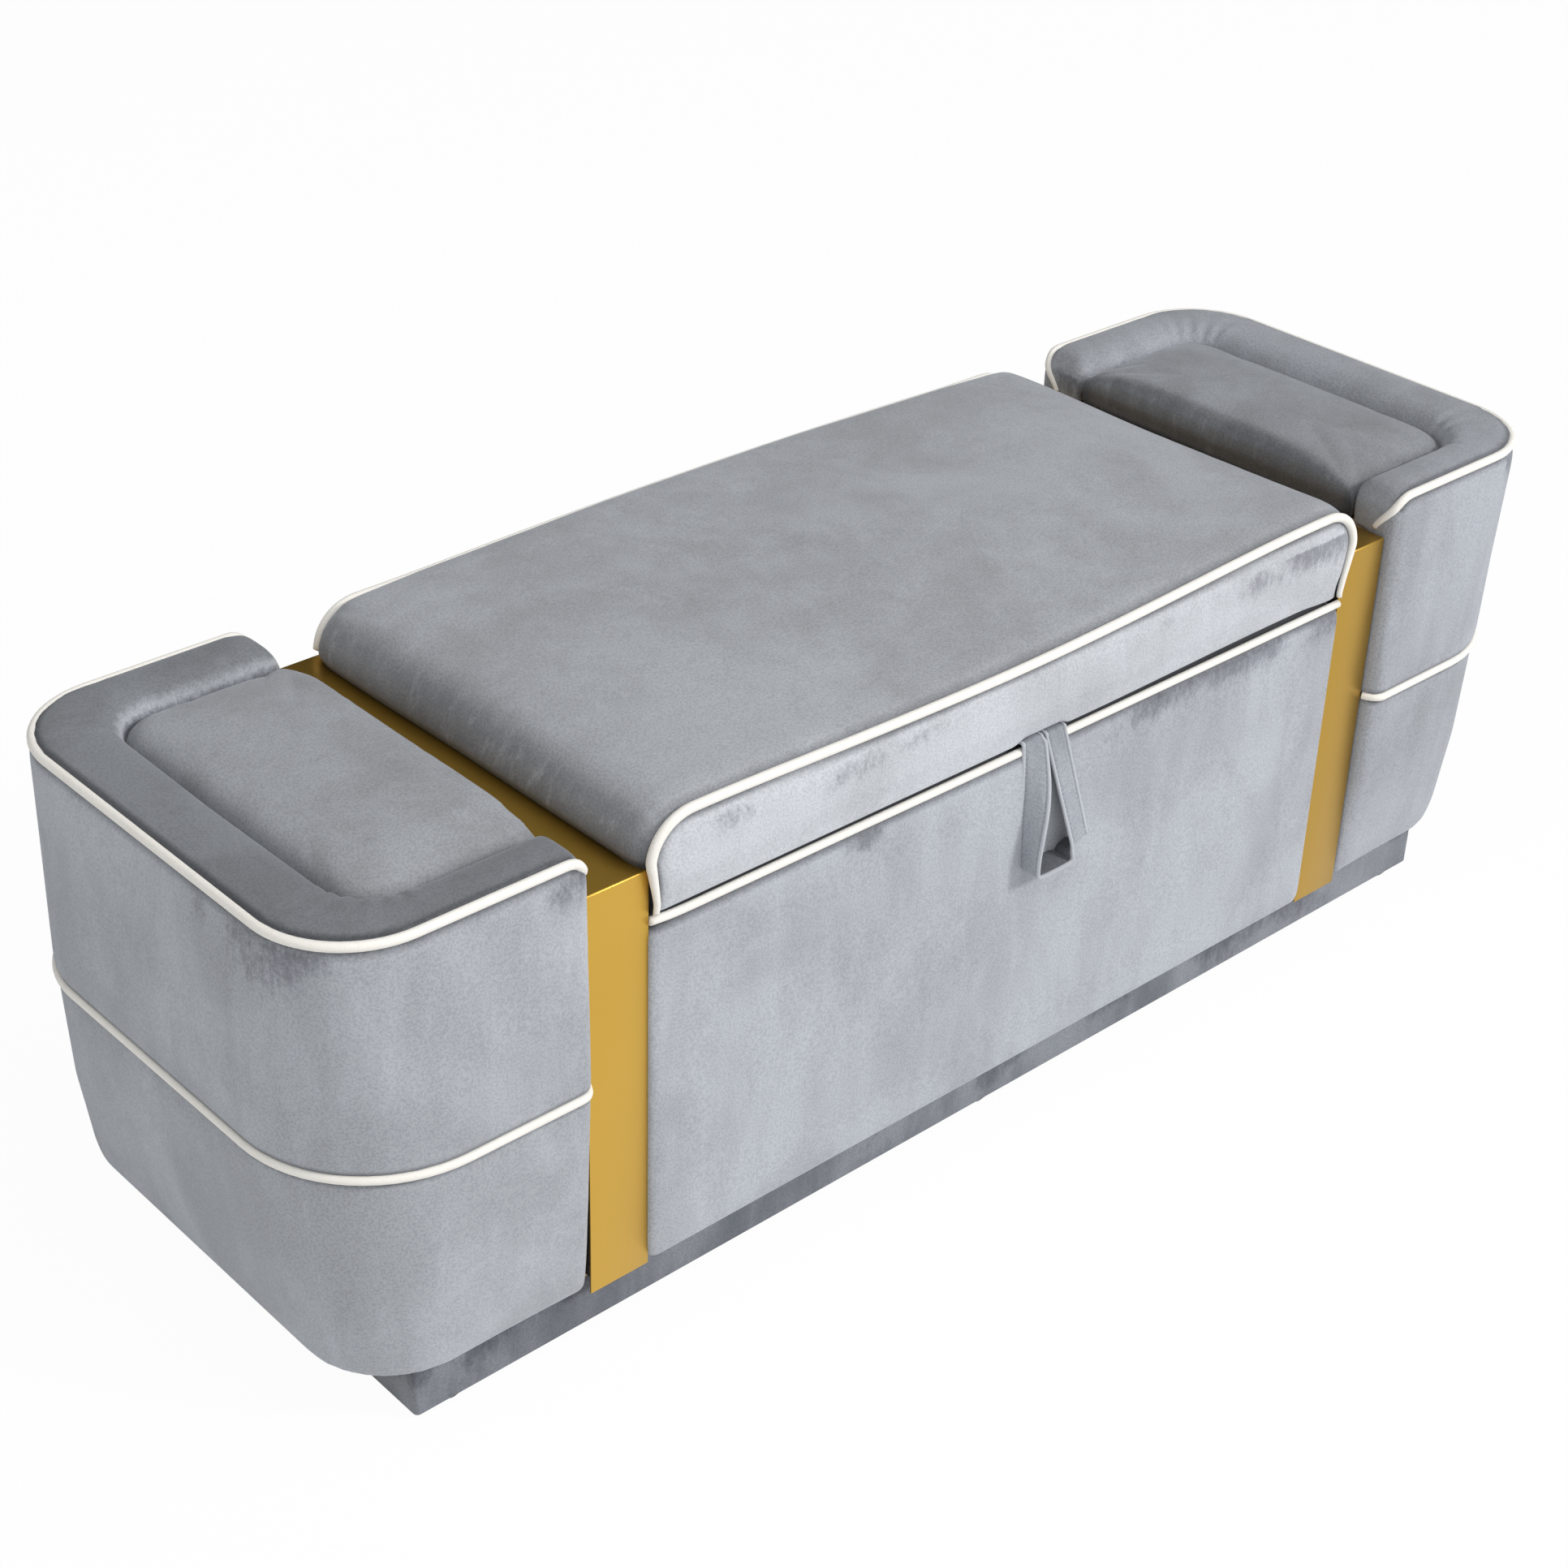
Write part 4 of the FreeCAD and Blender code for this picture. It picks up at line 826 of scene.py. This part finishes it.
def lid_held(spot):
    return near_lid_board(spot) < 0.004 or near_lid_seams(spot) < 0.003 or spot.z < lid_low.z + 0.008


def lid_settled(spot):
    """Where a point of the lid goes in use: the front leans out past the panel, spreads over the bands at
    its ends, lifts at the right, and its lower corners draw in."""
    proud = eased(-spot.y, 0.170, 0.197)
    right = eased(spot.x, -0.06, 0.30)
    at_end = eased(abs(spot.x), 0.28, 0.37)
    waist = min(max((spot.z - 0.362) / 0.045, 0.0), 1.0)
    above = eased(spot.z, 0.4005, 0.4045)
    spread = proud * waist + (1 - proud) * above
    out = at_end * spread * (lid_spread_right if spot.x > 0 else lid_spread_left)
    tilt = min(max((0.2 - spot.y) / 0.4, 0.0), 1.0)
    lift = waist * tilt * right * (lid_lift + lid_top_lift * eased(spot.z, 0.37, 0.43))
    low_edge = eased(-spot.z, -0.384, -0.366)
    drawn = at_end * proud * (1 - waist) * lid_draw
    beside_strap = eased(abs(spot.x - strap_x), 0.021, 0.030)
    at_right = eased(spot.x, 0.06, 0.30) * (1 - eased(spot.x, 0.32, 0.37))
    drop = lid_drop * low_edge * eased(-spot.y, 0.184, 0.196) * (1 - 0.7 * at_right) * beside_strap
    end_move = math.copysign(out - drawn, spot.x)
    return Vector((spot.x + end_move, spot.y - lid_lean * proud, spot.z + lift - drop))


def settle_lid(piece):
    for point in piece.data.vertices:
        point.co = lid_settled(point.co)


def lid_roll_share(spot):
    """Full on the top and sides, less on the front and back panels, nothing at the underside."""
    on_panel = eased(abs(spot.y), 0.190, 0.198)
    fuller = 1 + 0.35 * eased(spot.y, 0.0, 0.15)
    return fuller * (1 - 0.45 * on_panel) * eased(spot.z, lid_low.z + 0.006, lid_low.z + 0.024)


lid = even_skin("velvet_lid", ["lid_cushion"], 0.005, 4)
creased(lid, crease_reach, near_lid_seams)
puff(lid, lid_held, 0.005)
swell(lid, sunk=0.001, height=0.0085, width=0.022, seam=near_lid_seams, share=lid_roll_share)
settle_lid(lid)
sewn(lid, lid_lit_velvet, "lid", "velvet", 0.8, "lid_cushion")


def lid_seam(face, y, middle_z, top_z):
    """Piping round the front or back panel of the cushion, down to its lower edge at both ends."""
    low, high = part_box(f"lid_{face}_piping")
    radius = 0.0039
    half = high.x - radius
    corner = 0.036
    side_z = top_z - corner
    bend = corner * ROUND
    run = (half - corner) * 0.55
    foot = low.z
    knots = [((-half, y, foot), (0, 0, 1), 0, 0.012),
             ((-half, y, side_z), (0, 0, 1), 0.012, bend),
             ((corner - half, y, top_z), (1, 0, 0), bend, run * 0.4)]
    knots += [((0, y, middle_z), (1, 0, 0), run, run)] + and_back(knots, 0)
    piece = piping(f"piping_lid_{face}", knots, radius, tip=0.6)
    settle_lid(piece)
    placed(piece, ivory, "lid", "piping", f"lid_{face}_piping")


lid_seam("front", lid_low.y, middle_z=0.4315, top_z=0.438)
lid_seam("back", lid_high.y, middle_z=0.4425, top_z=0.437)

# Lid turn-under: the velvet of the lid pulled round the edges of the board on to its underside, with
# small pleats, and with its raw edge left for the dust cover to hide.
dust_low, dust_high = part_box("lid_dust_cover")
board_low, board_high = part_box("lid_board")
past_board = Vector((0.004, 0.004, 0))
board_low -= past_board
board_high += past_board
turn_gauge = 0.0008
pleat_depth = 0.0005
turn_width = dust_low.x - board_low.x + 0.006
turn_under = block("velvet_lid_turn_under", (board_low.x, board_low.y, board_low.z - turn_gauge),
                   (board_high.x, board_high.y, board_low.z))
cut_away(turn_under, lambda middle, normal: normal.z > -0.5)
pick(turn_under, "FACE", lambda middle, normal: True)
bpy.ops.mesh.inset(thickness=turn_width)
bpy.ops.mesh.delete(type="FACE")
diced(turn_under, 24)
bpy.ops.object.mode_set(mode="OBJECT")
for point in turn_under.data.vertices:
    edge = min(board_high.x - abs(point.co.x), board_high.y - abs(point.co.y))
    pleat = noise.noise(Vector((point.co.x * 45, point.co.y * 45, 3)))
    between_edges = eased(edge, 0.004, 0.012) * eased(turn_width - edge, 0.008, 0.016)
    point.co.z -= pleat_depth * max(pleat, 0.0) * between_edges
modify(turn_under, "SOLIDIFY", thickness=turn_gauge * 0.9, offset=-1)
crisp(50)
placed(turn_under, lid_lit_velvet, "lid", "velvet")

# Dust cover: a rectangle of the black cloth over the underside of the lid board. Its edge is turned in,
# which shows as a border, and the cloth inside it is a little slack.
dust_hem = 0.012
dust_slack = 0.0005
hem_step = 0.0004
dust = block("lid_dust_cloth", dust_low, dust_high - Vector((0, 0, 0.0002)))
cut_away(dust, lambda middle, normal: normal.z > -0.5)
pick(dust, "FACE", lambda middle, normal: True)
bpy.ops.mesh.inset(thickness=dust_hem)
bpy.ops.mesh.subdivide(number_cuts=40)
bpy.ops.object.mode_set(mode="OBJECT")
for point in dust.data.vertices:
    from_end = min(point.co.x - dust_low.x, dust_high.x - point.co.x)
    edge = min(from_end, point.co.y - dust_low.y, dust_high.y - point.co.y)
    wave = noise.noise(Vector((point.co.x * 14, point.co.y * 14, 0)))
    point.co.z += dust_slack * wave * eased(edge, 0.0, 0.03) + hem_step * eased(edge, 0.010, 0.014)
modify(dust, "SOLIDIFY", thickness=0.0004, offset=-1)
crisp(50)
placed(dust, lining_cloth, "lid", "lining", "lid_dust_cover")

# Lid hardware: zinc-plated butt hinges at the back, a riveted folding stay at each end, rubber buttons
# on the front wall that the lid rests on, and the screws that hold it all.
steel = Paint("zinc_steel", Metallic=1.0)
spangle = steel.node("ShaderNodeTexVoronoi", {}, {"Vector": steel.place, "Scale": 260.0}, "Color")
grey = steel.node("ShaderNodeSeparateColor", {}, {0: spangle}, 0)
rolled = steel.cloud(1.0, 3.0, steel.stretched((40.0, 40.0, 700.0)))
steel.tinted(grey, (0.50, 0.51, 0.52), (0.66, 0.67, 0.68))
steel.feed("Roughness", rolled * 0.2 + grey * 0.1 + 0.22)
for name in ("hinge_box_leaves", "hinge_lid_leaves", "hinge_pins", "stay_wall_brackets",
             "stay_lid_brackets", "strap_clamp"):
    dress(nodes[name], steel)
for side in ("left", "right"):
    dress(nodes[f"{side}_stay_lower_link"], steel)
    dress(nodes[f"{side}_stay_upper_link"], steel)

rubber = Paint("rubber", Roughness=0.8, Specular_IOR_Level=0.3)
bloom = rubber.cloud(300.0, 3.0)
rubber.tinted(bloom, (0.012, 0.012, 0.012), (0.05, 0.05, 0.05))
rubber.relief(bloom, 0.0002)
button_low, button_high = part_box("lid_bumpers")
button_radius = (button_high.y - button_low.y) / 2
button_height = button_high.z - button_low.z
button_y = (button_low.y + button_high.y) / 2
button_inner_x = 0.108
button_places = (button_low.x + button_radius, -button_inner_x, button_inner_x,
                 button_high.x - button_radius)


def copied(first, spots, name):
    """Copies a small part to several spots and joins the copies into one piece."""
    made = []
    for spot, turn in spots:
        twin = linked(name, first.data.copy())
        twin.data.transform(Matrix.Translation(spot) @ turn)
        made.append(twin)
    bpy.ops.object.select_all(action="DESELECT")
    for twin in made:
        twin.select_set(True)
    bpy.context.view_layer.objects.active = made[0]
    bpy.ops.object.join()
    made[0].name = made[0].data.name = name
    return made[0]


button = added(bpy.ops.mesh.primitive_cylinder_add, vertices=32, radius=button_radius, depth=button_height,
               location=(0, 0, button_height / 2))
bpy.ops.object.transform_apply(location=True)
pick(button, "FACE", lambda middle, normal: normal.z > 0.5)
bpy.ops.mesh.inset(thickness=button_radius * 0.45)
softened(button, button_radius * 0.3, 5, over=60, smooth_to=40)
upright_turn = Matrix.Identity(4)
buttons = copied(button, [(Vector((x, button_y, button_low.z)), upright_turn) for x in button_places],
                 "rubber_buttons")
bpy.data.objects.remove(button)
placed(buttons, rubber, "bench", "rubber", "lid_bumpers")

screw_radius = 0.0032
screw_head = 0.0008
screw_recess = 0.0006
screw = added(bpy.ops.mesh.primitive_cylinder_add, vertices=24, radius=screw_radius, depth=screw_head,
              location=(0, 0, screw_head / 2))
bpy.ops.object.transform_apply(location=True)
pick(screw, "FACE", lambda middle, normal: normal.z > 0.5)
bpy.ops.mesh.inset(thickness=screw_radius * 0.3)
bpy.ops.mesh.inset(thickness=screw_radius * 0.3)
bpy.ops.transform.translate(value=(0, 0, -screw_recess))
softened(screw, 0.0002, 2, over=40, smooth_to=40)
facing_down = Matrix.Rotation(math.pi, 4, "X")
leaf_gauge = 0.002
wall_top = 0.353
lid_under = 0.364
leaf_screws = ((-0.022, 0.181), (0.0, 0.189), (0.022, 0.181))
bench_screws = []
lid_screws = []
for hinge_x in (-0.27, 0.0, 0.27):
    for offset, y in leaf_screws:
        bench_screws.append((Vector((hinge_x + offset, y, wall_top + leaf_gauge)), upright_turn))
        lid_screws.append((Vector((hinge_x + offset, y, lid_under - leaf_gauge)), facing_down))
plate_low, plate_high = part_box("stay_wall_brackets")
angle_low, angle_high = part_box("stay_lid_brackets")
plate_face = 0.362
angle_screw_x = 0.341
for sign in (-1, 1):
    inward = Matrix.Rotation(math.radians(-90 * sign), 4, "Y")
    for y in (plate_low.y + 0.007, plate_high.y - 0.007):
        bench_screws.append((Vector((sign * plate_face, y, plate_low.z + 0.008)), inward))
    for y in (angle_low.y + 0.008, angle_high.y - 0.008):
        lid_screws.append((Vector((sign * angle_screw_x, y, lid_under - leaf_gauge)), facing_down))
clamp_low, clamp_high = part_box("strap_clamp")
for x in (clamp_low.x + 0.0045, clamp_high.x - 0.0045):
    lid_screws.append((Vector((x, (clamp_low.y + clamp_high.y) / 2, clamp_low.z)), facing_down))
for name, spots, body in (("screws_on_box", bench_screws, "bench"), ("screws_on_lid", lid_screws, "lid")):
    placed(copied(screw, spots, name), steel, body, "steel")
bpy.data.objects.remove(screw)

# Pull strap: a doubled strip of the velvet, stitched along both edges, folded into a loop whose ends
# are clamped under the lid. One leg turns edge-on as it hangs, and the other turns at its foot.
strap_width = 0.024
strap_gauge = 0.0024
strap_y = -0.2025
strap_z = 0.3628
strap_split = 0.0008
strap_hang = 0.0028
strap_low_z = 0.2525
strap_sag = 0.0055
strap_half = 0.0195
strap_middle = 0.0155
strap_tab_back = -0.168
strap_stitch_in = 0.0038


def strap_leg(sign):
    """Stations of one leg from its tab to its foot: front edge, direction across, direction out."""
    stations = []
    bend = 0.0018
    edge_x = strap_x + sign * strap_split
    for step in range(6):
        y = strap_tab_back + (strap_y + bend - strap_tab_back) * step / 5
        stations.append((Vector((edge_x, y, strap_z)), Vector((sign, 0, 0)), Vector((0, 0, 1))))
    for step in range(1, 6):
        turn = math.pi / 2 * step / 6
        out = Vector((0, -math.sin(turn), math.cos(turn)))
        spot = Vector((edge_x, strap_y + bend, strap_z - bend)) + out * bend
        stations.append((spot, Vector((sign, 0, 0)), out))
    high_z = strap_z - strap_hang
    low_x = strap_middle + sign * strap_half
    low_y = strap_y - strap_width + strap_gauge / 2
    count = 44
    for step in range(count + 1):
        share = step / count
        if sign < 0:
            turn = math.pi / 2 * eased(share, -0.25, 1.0)
            rear_top = Vector((edge_x - strap_width, strap_y, high_z))
            rear = rear_top.lerp(Vector((low_x, low_y + strap_width, strap_low_z)), share)
            across = Vector((-math.cos(turn), math.sin(turn), 0))
            spot = rear - across * strap_width
        else:
            turn = math.radians(10) * share + math.radians(80) * eased(share, 0.88, 1)
            across = Vector((math.cos(turn), math.sin(turn), 0))
            spot = Vector((edge_x, strap_y, high_z)).lerp(Vector((low_x, low_y, strap_low_z)), share)
        stations.append((spot, across, Vector((sign * math.sin(turn), -math.cos(turn), 0))))
    return stations


def strap_stations():
    power = 4.0
    bottom = []
    count = 28
    for step in range(1, count):
        angle = math.pi * step / count
        x, z = -math.cos(angle), -math.sin(angle)
        spot = Vector((strap_middle + strap_half * math.copysign(abs(x) ** (2 / power), x),
                       strap_y - strap_width + strap_gauge / 2,
                       strap_low_z + strap_sag * math.copysign(abs(z) ** (2 / power), z)))
        out = Vector((math.copysign(abs(x) ** (2 - 2 / power) / strap_half, x), 0,
                      math.copysign(abs(z) ** (2 - 2 / power) / strap_sag, z))).normalized()
        tilt = math.radians(16) * math.sin(angle) ** 2
        across = Vector((0, math.cos(tilt), math.sin(tilt)))
        bottom.append((spot, across, (out - across * out.dot(across)).normalized()))
    return strap_leg(-1) + bottom + strap_leg(1)[::-1]


def strap_depth(share):
    """Half the ribbon's thickness across its width: full at the folded edges, thin at the stitching."""
    from_edge = min(share, 1 - share) * strap_width
    edge_round = 0.0014
    groove_width = 0.0008
    rim_in = 0.0017
    rim_width = 0.001
    edge = math.sqrt(max(0.0, 1 - (1 - min(from_edge / edge_round, 1.0)) ** 2))
    groove = math.exp(-((from_edge - strap_stitch_in) / groove_width) ** 2)
    rim = 1 + 0.3 * math.exp(-((from_edge - rim_in) / rim_width) ** 2)
    return strap_gauge / 2 * (0.12 + 0.88 * edge) * rim * (1 - 0.5 * groove)


across_shares = [0, 0.012, 0.03, 0.06, 0.09, 0.115, 0.135, 0.15, 0.165, 0.185, 0.215, 0.3, 0.4, 0.5]
across_shares += [1 - share for share in across_shares[-2::-1]]
stations = strap_stations()
rings_of_spots = []
for spot, across, out in stations:
    face = [spot + across * strap_width * share + out * strap_depth(share) for share in across_shares]
    back = [spot + across * strap_width * share - out * strap_depth(share) for share in across_shares[::-1]]
    rings_of_spots.append(face + back)
per_ring = len(rings_of_spots[0])
faces = []
for ring in range(len(rings_of_spots) - 1):
    for i in range(per_ring):
        j = (i + 1) % per_ring
        start = ring * per_ring
        faces.append((start + i, start + per_ring + i, start + per_ring + j, start + j))
faces.append(tuple(range(per_ring)))
faces.append(tuple(range((len(rings_of_spots) - 1) * per_ring, len(rings_of_spots) * per_ring))[::-1])
strap_mesh = bpy.data.meshes.new("velvet_pull_strap")
strap_mesh.from_pydata([tuple(v) for ring in rings_of_spots for v in ring], [], faces)
strap = linked("velvet_pull_strap", strap_mesh)
only(strap)
bpy.ops.object.mode_set(mode="EDIT")
bpy.ops.mesh.select_all(action="SELECT")
bpy.ops.mesh.normals_make_consistent(inside=False)
bpy.ops.object.mode_set(mode="OBJECT")
crisp(60)
# Painted highlight on the folded edges (rim_light), and painted shade on the inner face of the loop
# (inside).
rim_light = strap_mesh.attributes.new("rim_light", "FLOAT", "POINT")
inside = strap_mesh.attributes.new("inside", "FLOAT", "POINT")
for number in range(len(strap_mesh.vertices)):
    spot = number % per_ring
    share = (across_shares + across_shares[::-1])[spot]
    rim_light.data[number].value = eased(-min(share, 1 - share) * strap_width, -0.0034, -0.0022)
    inside.data[number].value = 1.0 if spot >= len(across_shares) else 0.0
strap_velvet = velvet("strap_velvet", (0.25, 0.265, 0.29), (0.36, 0.38, 0.41))
plain = Field(strap_velvet, strap_velvet.shader.inputs["Base Color"].links[0].from_socket)
rim_highlight_mask = strap_velvet.node("ShaderNodeAttribute", {"attribute_name": "rim_light"}, {}, "Fac")
inside_shade_mask = strap_velvet.node("ShaderNodeAttribute", {"attribute_name": "inside"}, {}, "Fac")
dark = strap_velvet.dimmed(inside_shade_mask, plain, (0.36, 0.36, 0.37))
strap_velvet.tinted(rim_highlight_mask * 0.7, dark, (0.52, 0.54, 0.57))
dress(strap, strap_velvet)

stitch_length = 0.0028
stitch_pitch = 0.0040
stitch_width = 0.0007
stitch_height = 0.0006
stitch = added(bpy.ops.mesh.primitive_uv_sphere_add, segments=8, ring_count=6, radius=0.5)
pick(stitch, "FACE", lambda middle, normal: middle.z < 0)
bpy.ops.transform.resize(value=(1, 1, 0.6), center_override=(0, 0, 0))
bpy.ops.object.mode_set(mode="OBJECT")
stitch.scale = (stitch_length, stitch_width, stitch_height)
bpy.ops.object.transform_apply(location=False, rotation=False, scale=True)
stitch_spots = []
for share in (strap_stitch_in / strap_width, 1 - strap_stitch_in / strap_width):
    gone = 0.0
    for before, (after, across, out) in zip(stations, stations[1:]):
        start = before[0] + before[1] * strap_width * share
        stop = after + across * strap_width * share
        run = (stop - start).length
        if run < 1e-5:
            continue
        along_leg = (stop - start) / run
        while gone < run:
            spot = start + along_leg * gone + out * (strap_depth(share) + 0.0001)
            side = out.cross(along_leg).normalized()
            turn = Matrix((along_leg, side, along_leg.cross(side))).transposed().to_4x4()
            stitch_spots.append((spot, turn))
            gone += stitch_pitch
        gone -= run
stitches = copied(stitch, stitch_spots, "strap_stitches")
bpy.data.objects.remove(stitch)
thread_paint = Paint("grey_thread", Roughness=0.6)
twist = thread_paint.cloud(2500.0, 2.0)
thread_paint.tinted(twist, (0.16, 0.17, 0.19), (0.34, 0.355, 0.38))
thread_paint.relief(twist, 0.0002)
dress(stitches, thread_paint)
for piece in (strap, stitches):
    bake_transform(piece)
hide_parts("pull_strap", "strap_tabs")

# Studio: a pale floor that keeps a soft shadow, a white sky, a soft light from the front right, weak
# fills from the left and above, and a camera where the photograph was taken from.
floor = added(bpy.ops.mesh.primitive_plane_add, size=160, location=(0, 0, -0.0005))
floor.name = "floor"
bpy.ops.object.transform_apply(location=True)
floor_paint = Paint("floor_paint", Base_Color=(0.9, 0.9, 0.9, 1), Roughness=0.9)
floor_white = 0.96
to_camera = floor_paint.node("ShaderNodeLightPath", {}, {}, "Is Camera Ray")
to_gloss = floor_paint.node("ShaderNodeLightPath", {}, {}, "Is Glossy Ray")
seen = to_camera.joined("MAXIMUM", to_camera, to_gloss)
glow = floor_paint.node("ShaderNodeEmission", {}, {})
matt = Field(floor_paint, floor_paint.shader.outputs[0])
mixed = floor_paint.node("ShaderNodeMixShader", {}, {0: seen * floor_white, 1: matt, 2: glow})
floor_paint.tree.links.new(mixed.socket, floor_paint.tree.nodes["Material Output"].inputs[0])
dress(floor, floor_paint)

world = bpy.data.worlds.new("studio")
bpy.context.scene.world = world
world.use_nodes = True
sky = Graph(world.node_tree)
bright_side = (-0.15, -0.95, 0.25)
around = sky.node("ShaderNodeTexCoord", {}, {}, "Generated")
toward = sky.node("ShaderNodeVectorMath", {"operation": "DOT_PRODUCT"},
                  {0: around, 1: bright_side}, "Value")
level_range = {"Value": toward, "From Min": -0.75, "From Max": 0.6, "To Min": 0.05, "To Max": 0.66}
level = sky.node("ShaderNodeMapRange", {"interpolation_type": "SMOOTHSTEP"}, level_range, "Result")
shown = level.joined("MAXIMUM", level, sky.node("ShaderNodeLightPath", {}, {}, "Is Camera Ray"))
background = sky.tree.nodes["Background"]
background.inputs["Color"].default_value = (0.98, 0.99, 1.0, 1)
sky.tree.links.new(shown.socket, background.inputs["Strength"])


def soft_light(name, spot, aim, width, height, power):
    lamp = bpy.data.lights.new(name, "AREA")
    lamp.shape = "RECTANGLE"
    lamp.size = width
    lamp.size_y = height
    lamp.energy = power
    holder = linked(name, lamp)
    holder.location = spot
    holder.rotation_euler = (Vector(aim) - Vector(spot)).to_track_quat("-Z", "Y").to_euler()


middle_of_bench = (0, 0, 0.25)
soft_light("front_light", (3.2, -5.3, 4.3), middle_of_bench, width=1.3, height=1.1, power=285)
soft_light("left_light", (-3.6, -0.6, 1.3), middle_of_bench, width=2.0, height=2.0, power=10)
soft_light("top_light", (-0.7, -0.8, 3.4), middle_of_bench, width=2.5, height=1.6, power=32)

eye = Vector((-1.4079, -1.4356, 1.4437))
right = Vector((0.74251, -0.66930, 0.02687))
down = Vector((-0.32980, -0.40021, -0.85502))
ahead = Vector((0.58302, 0.62600, -0.51789))
camera_data = bpy.data.cameras.new("camera")
camera_data.sensor_width = 36.0
camera_data.lens = 64.3
camera_data.clip_start = 0.05
camera_data.clip_end = 100
camera = linked("camera", camera_data)
turned = Matrix((right, -down, -ahead)).transposed().to_4x4()
camera.matrix_world = Matrix.Translation(eye) @ turned
bpy.context.scene.camera = camera
bpy.context.scene.view_settings.view_transform = "Standard"
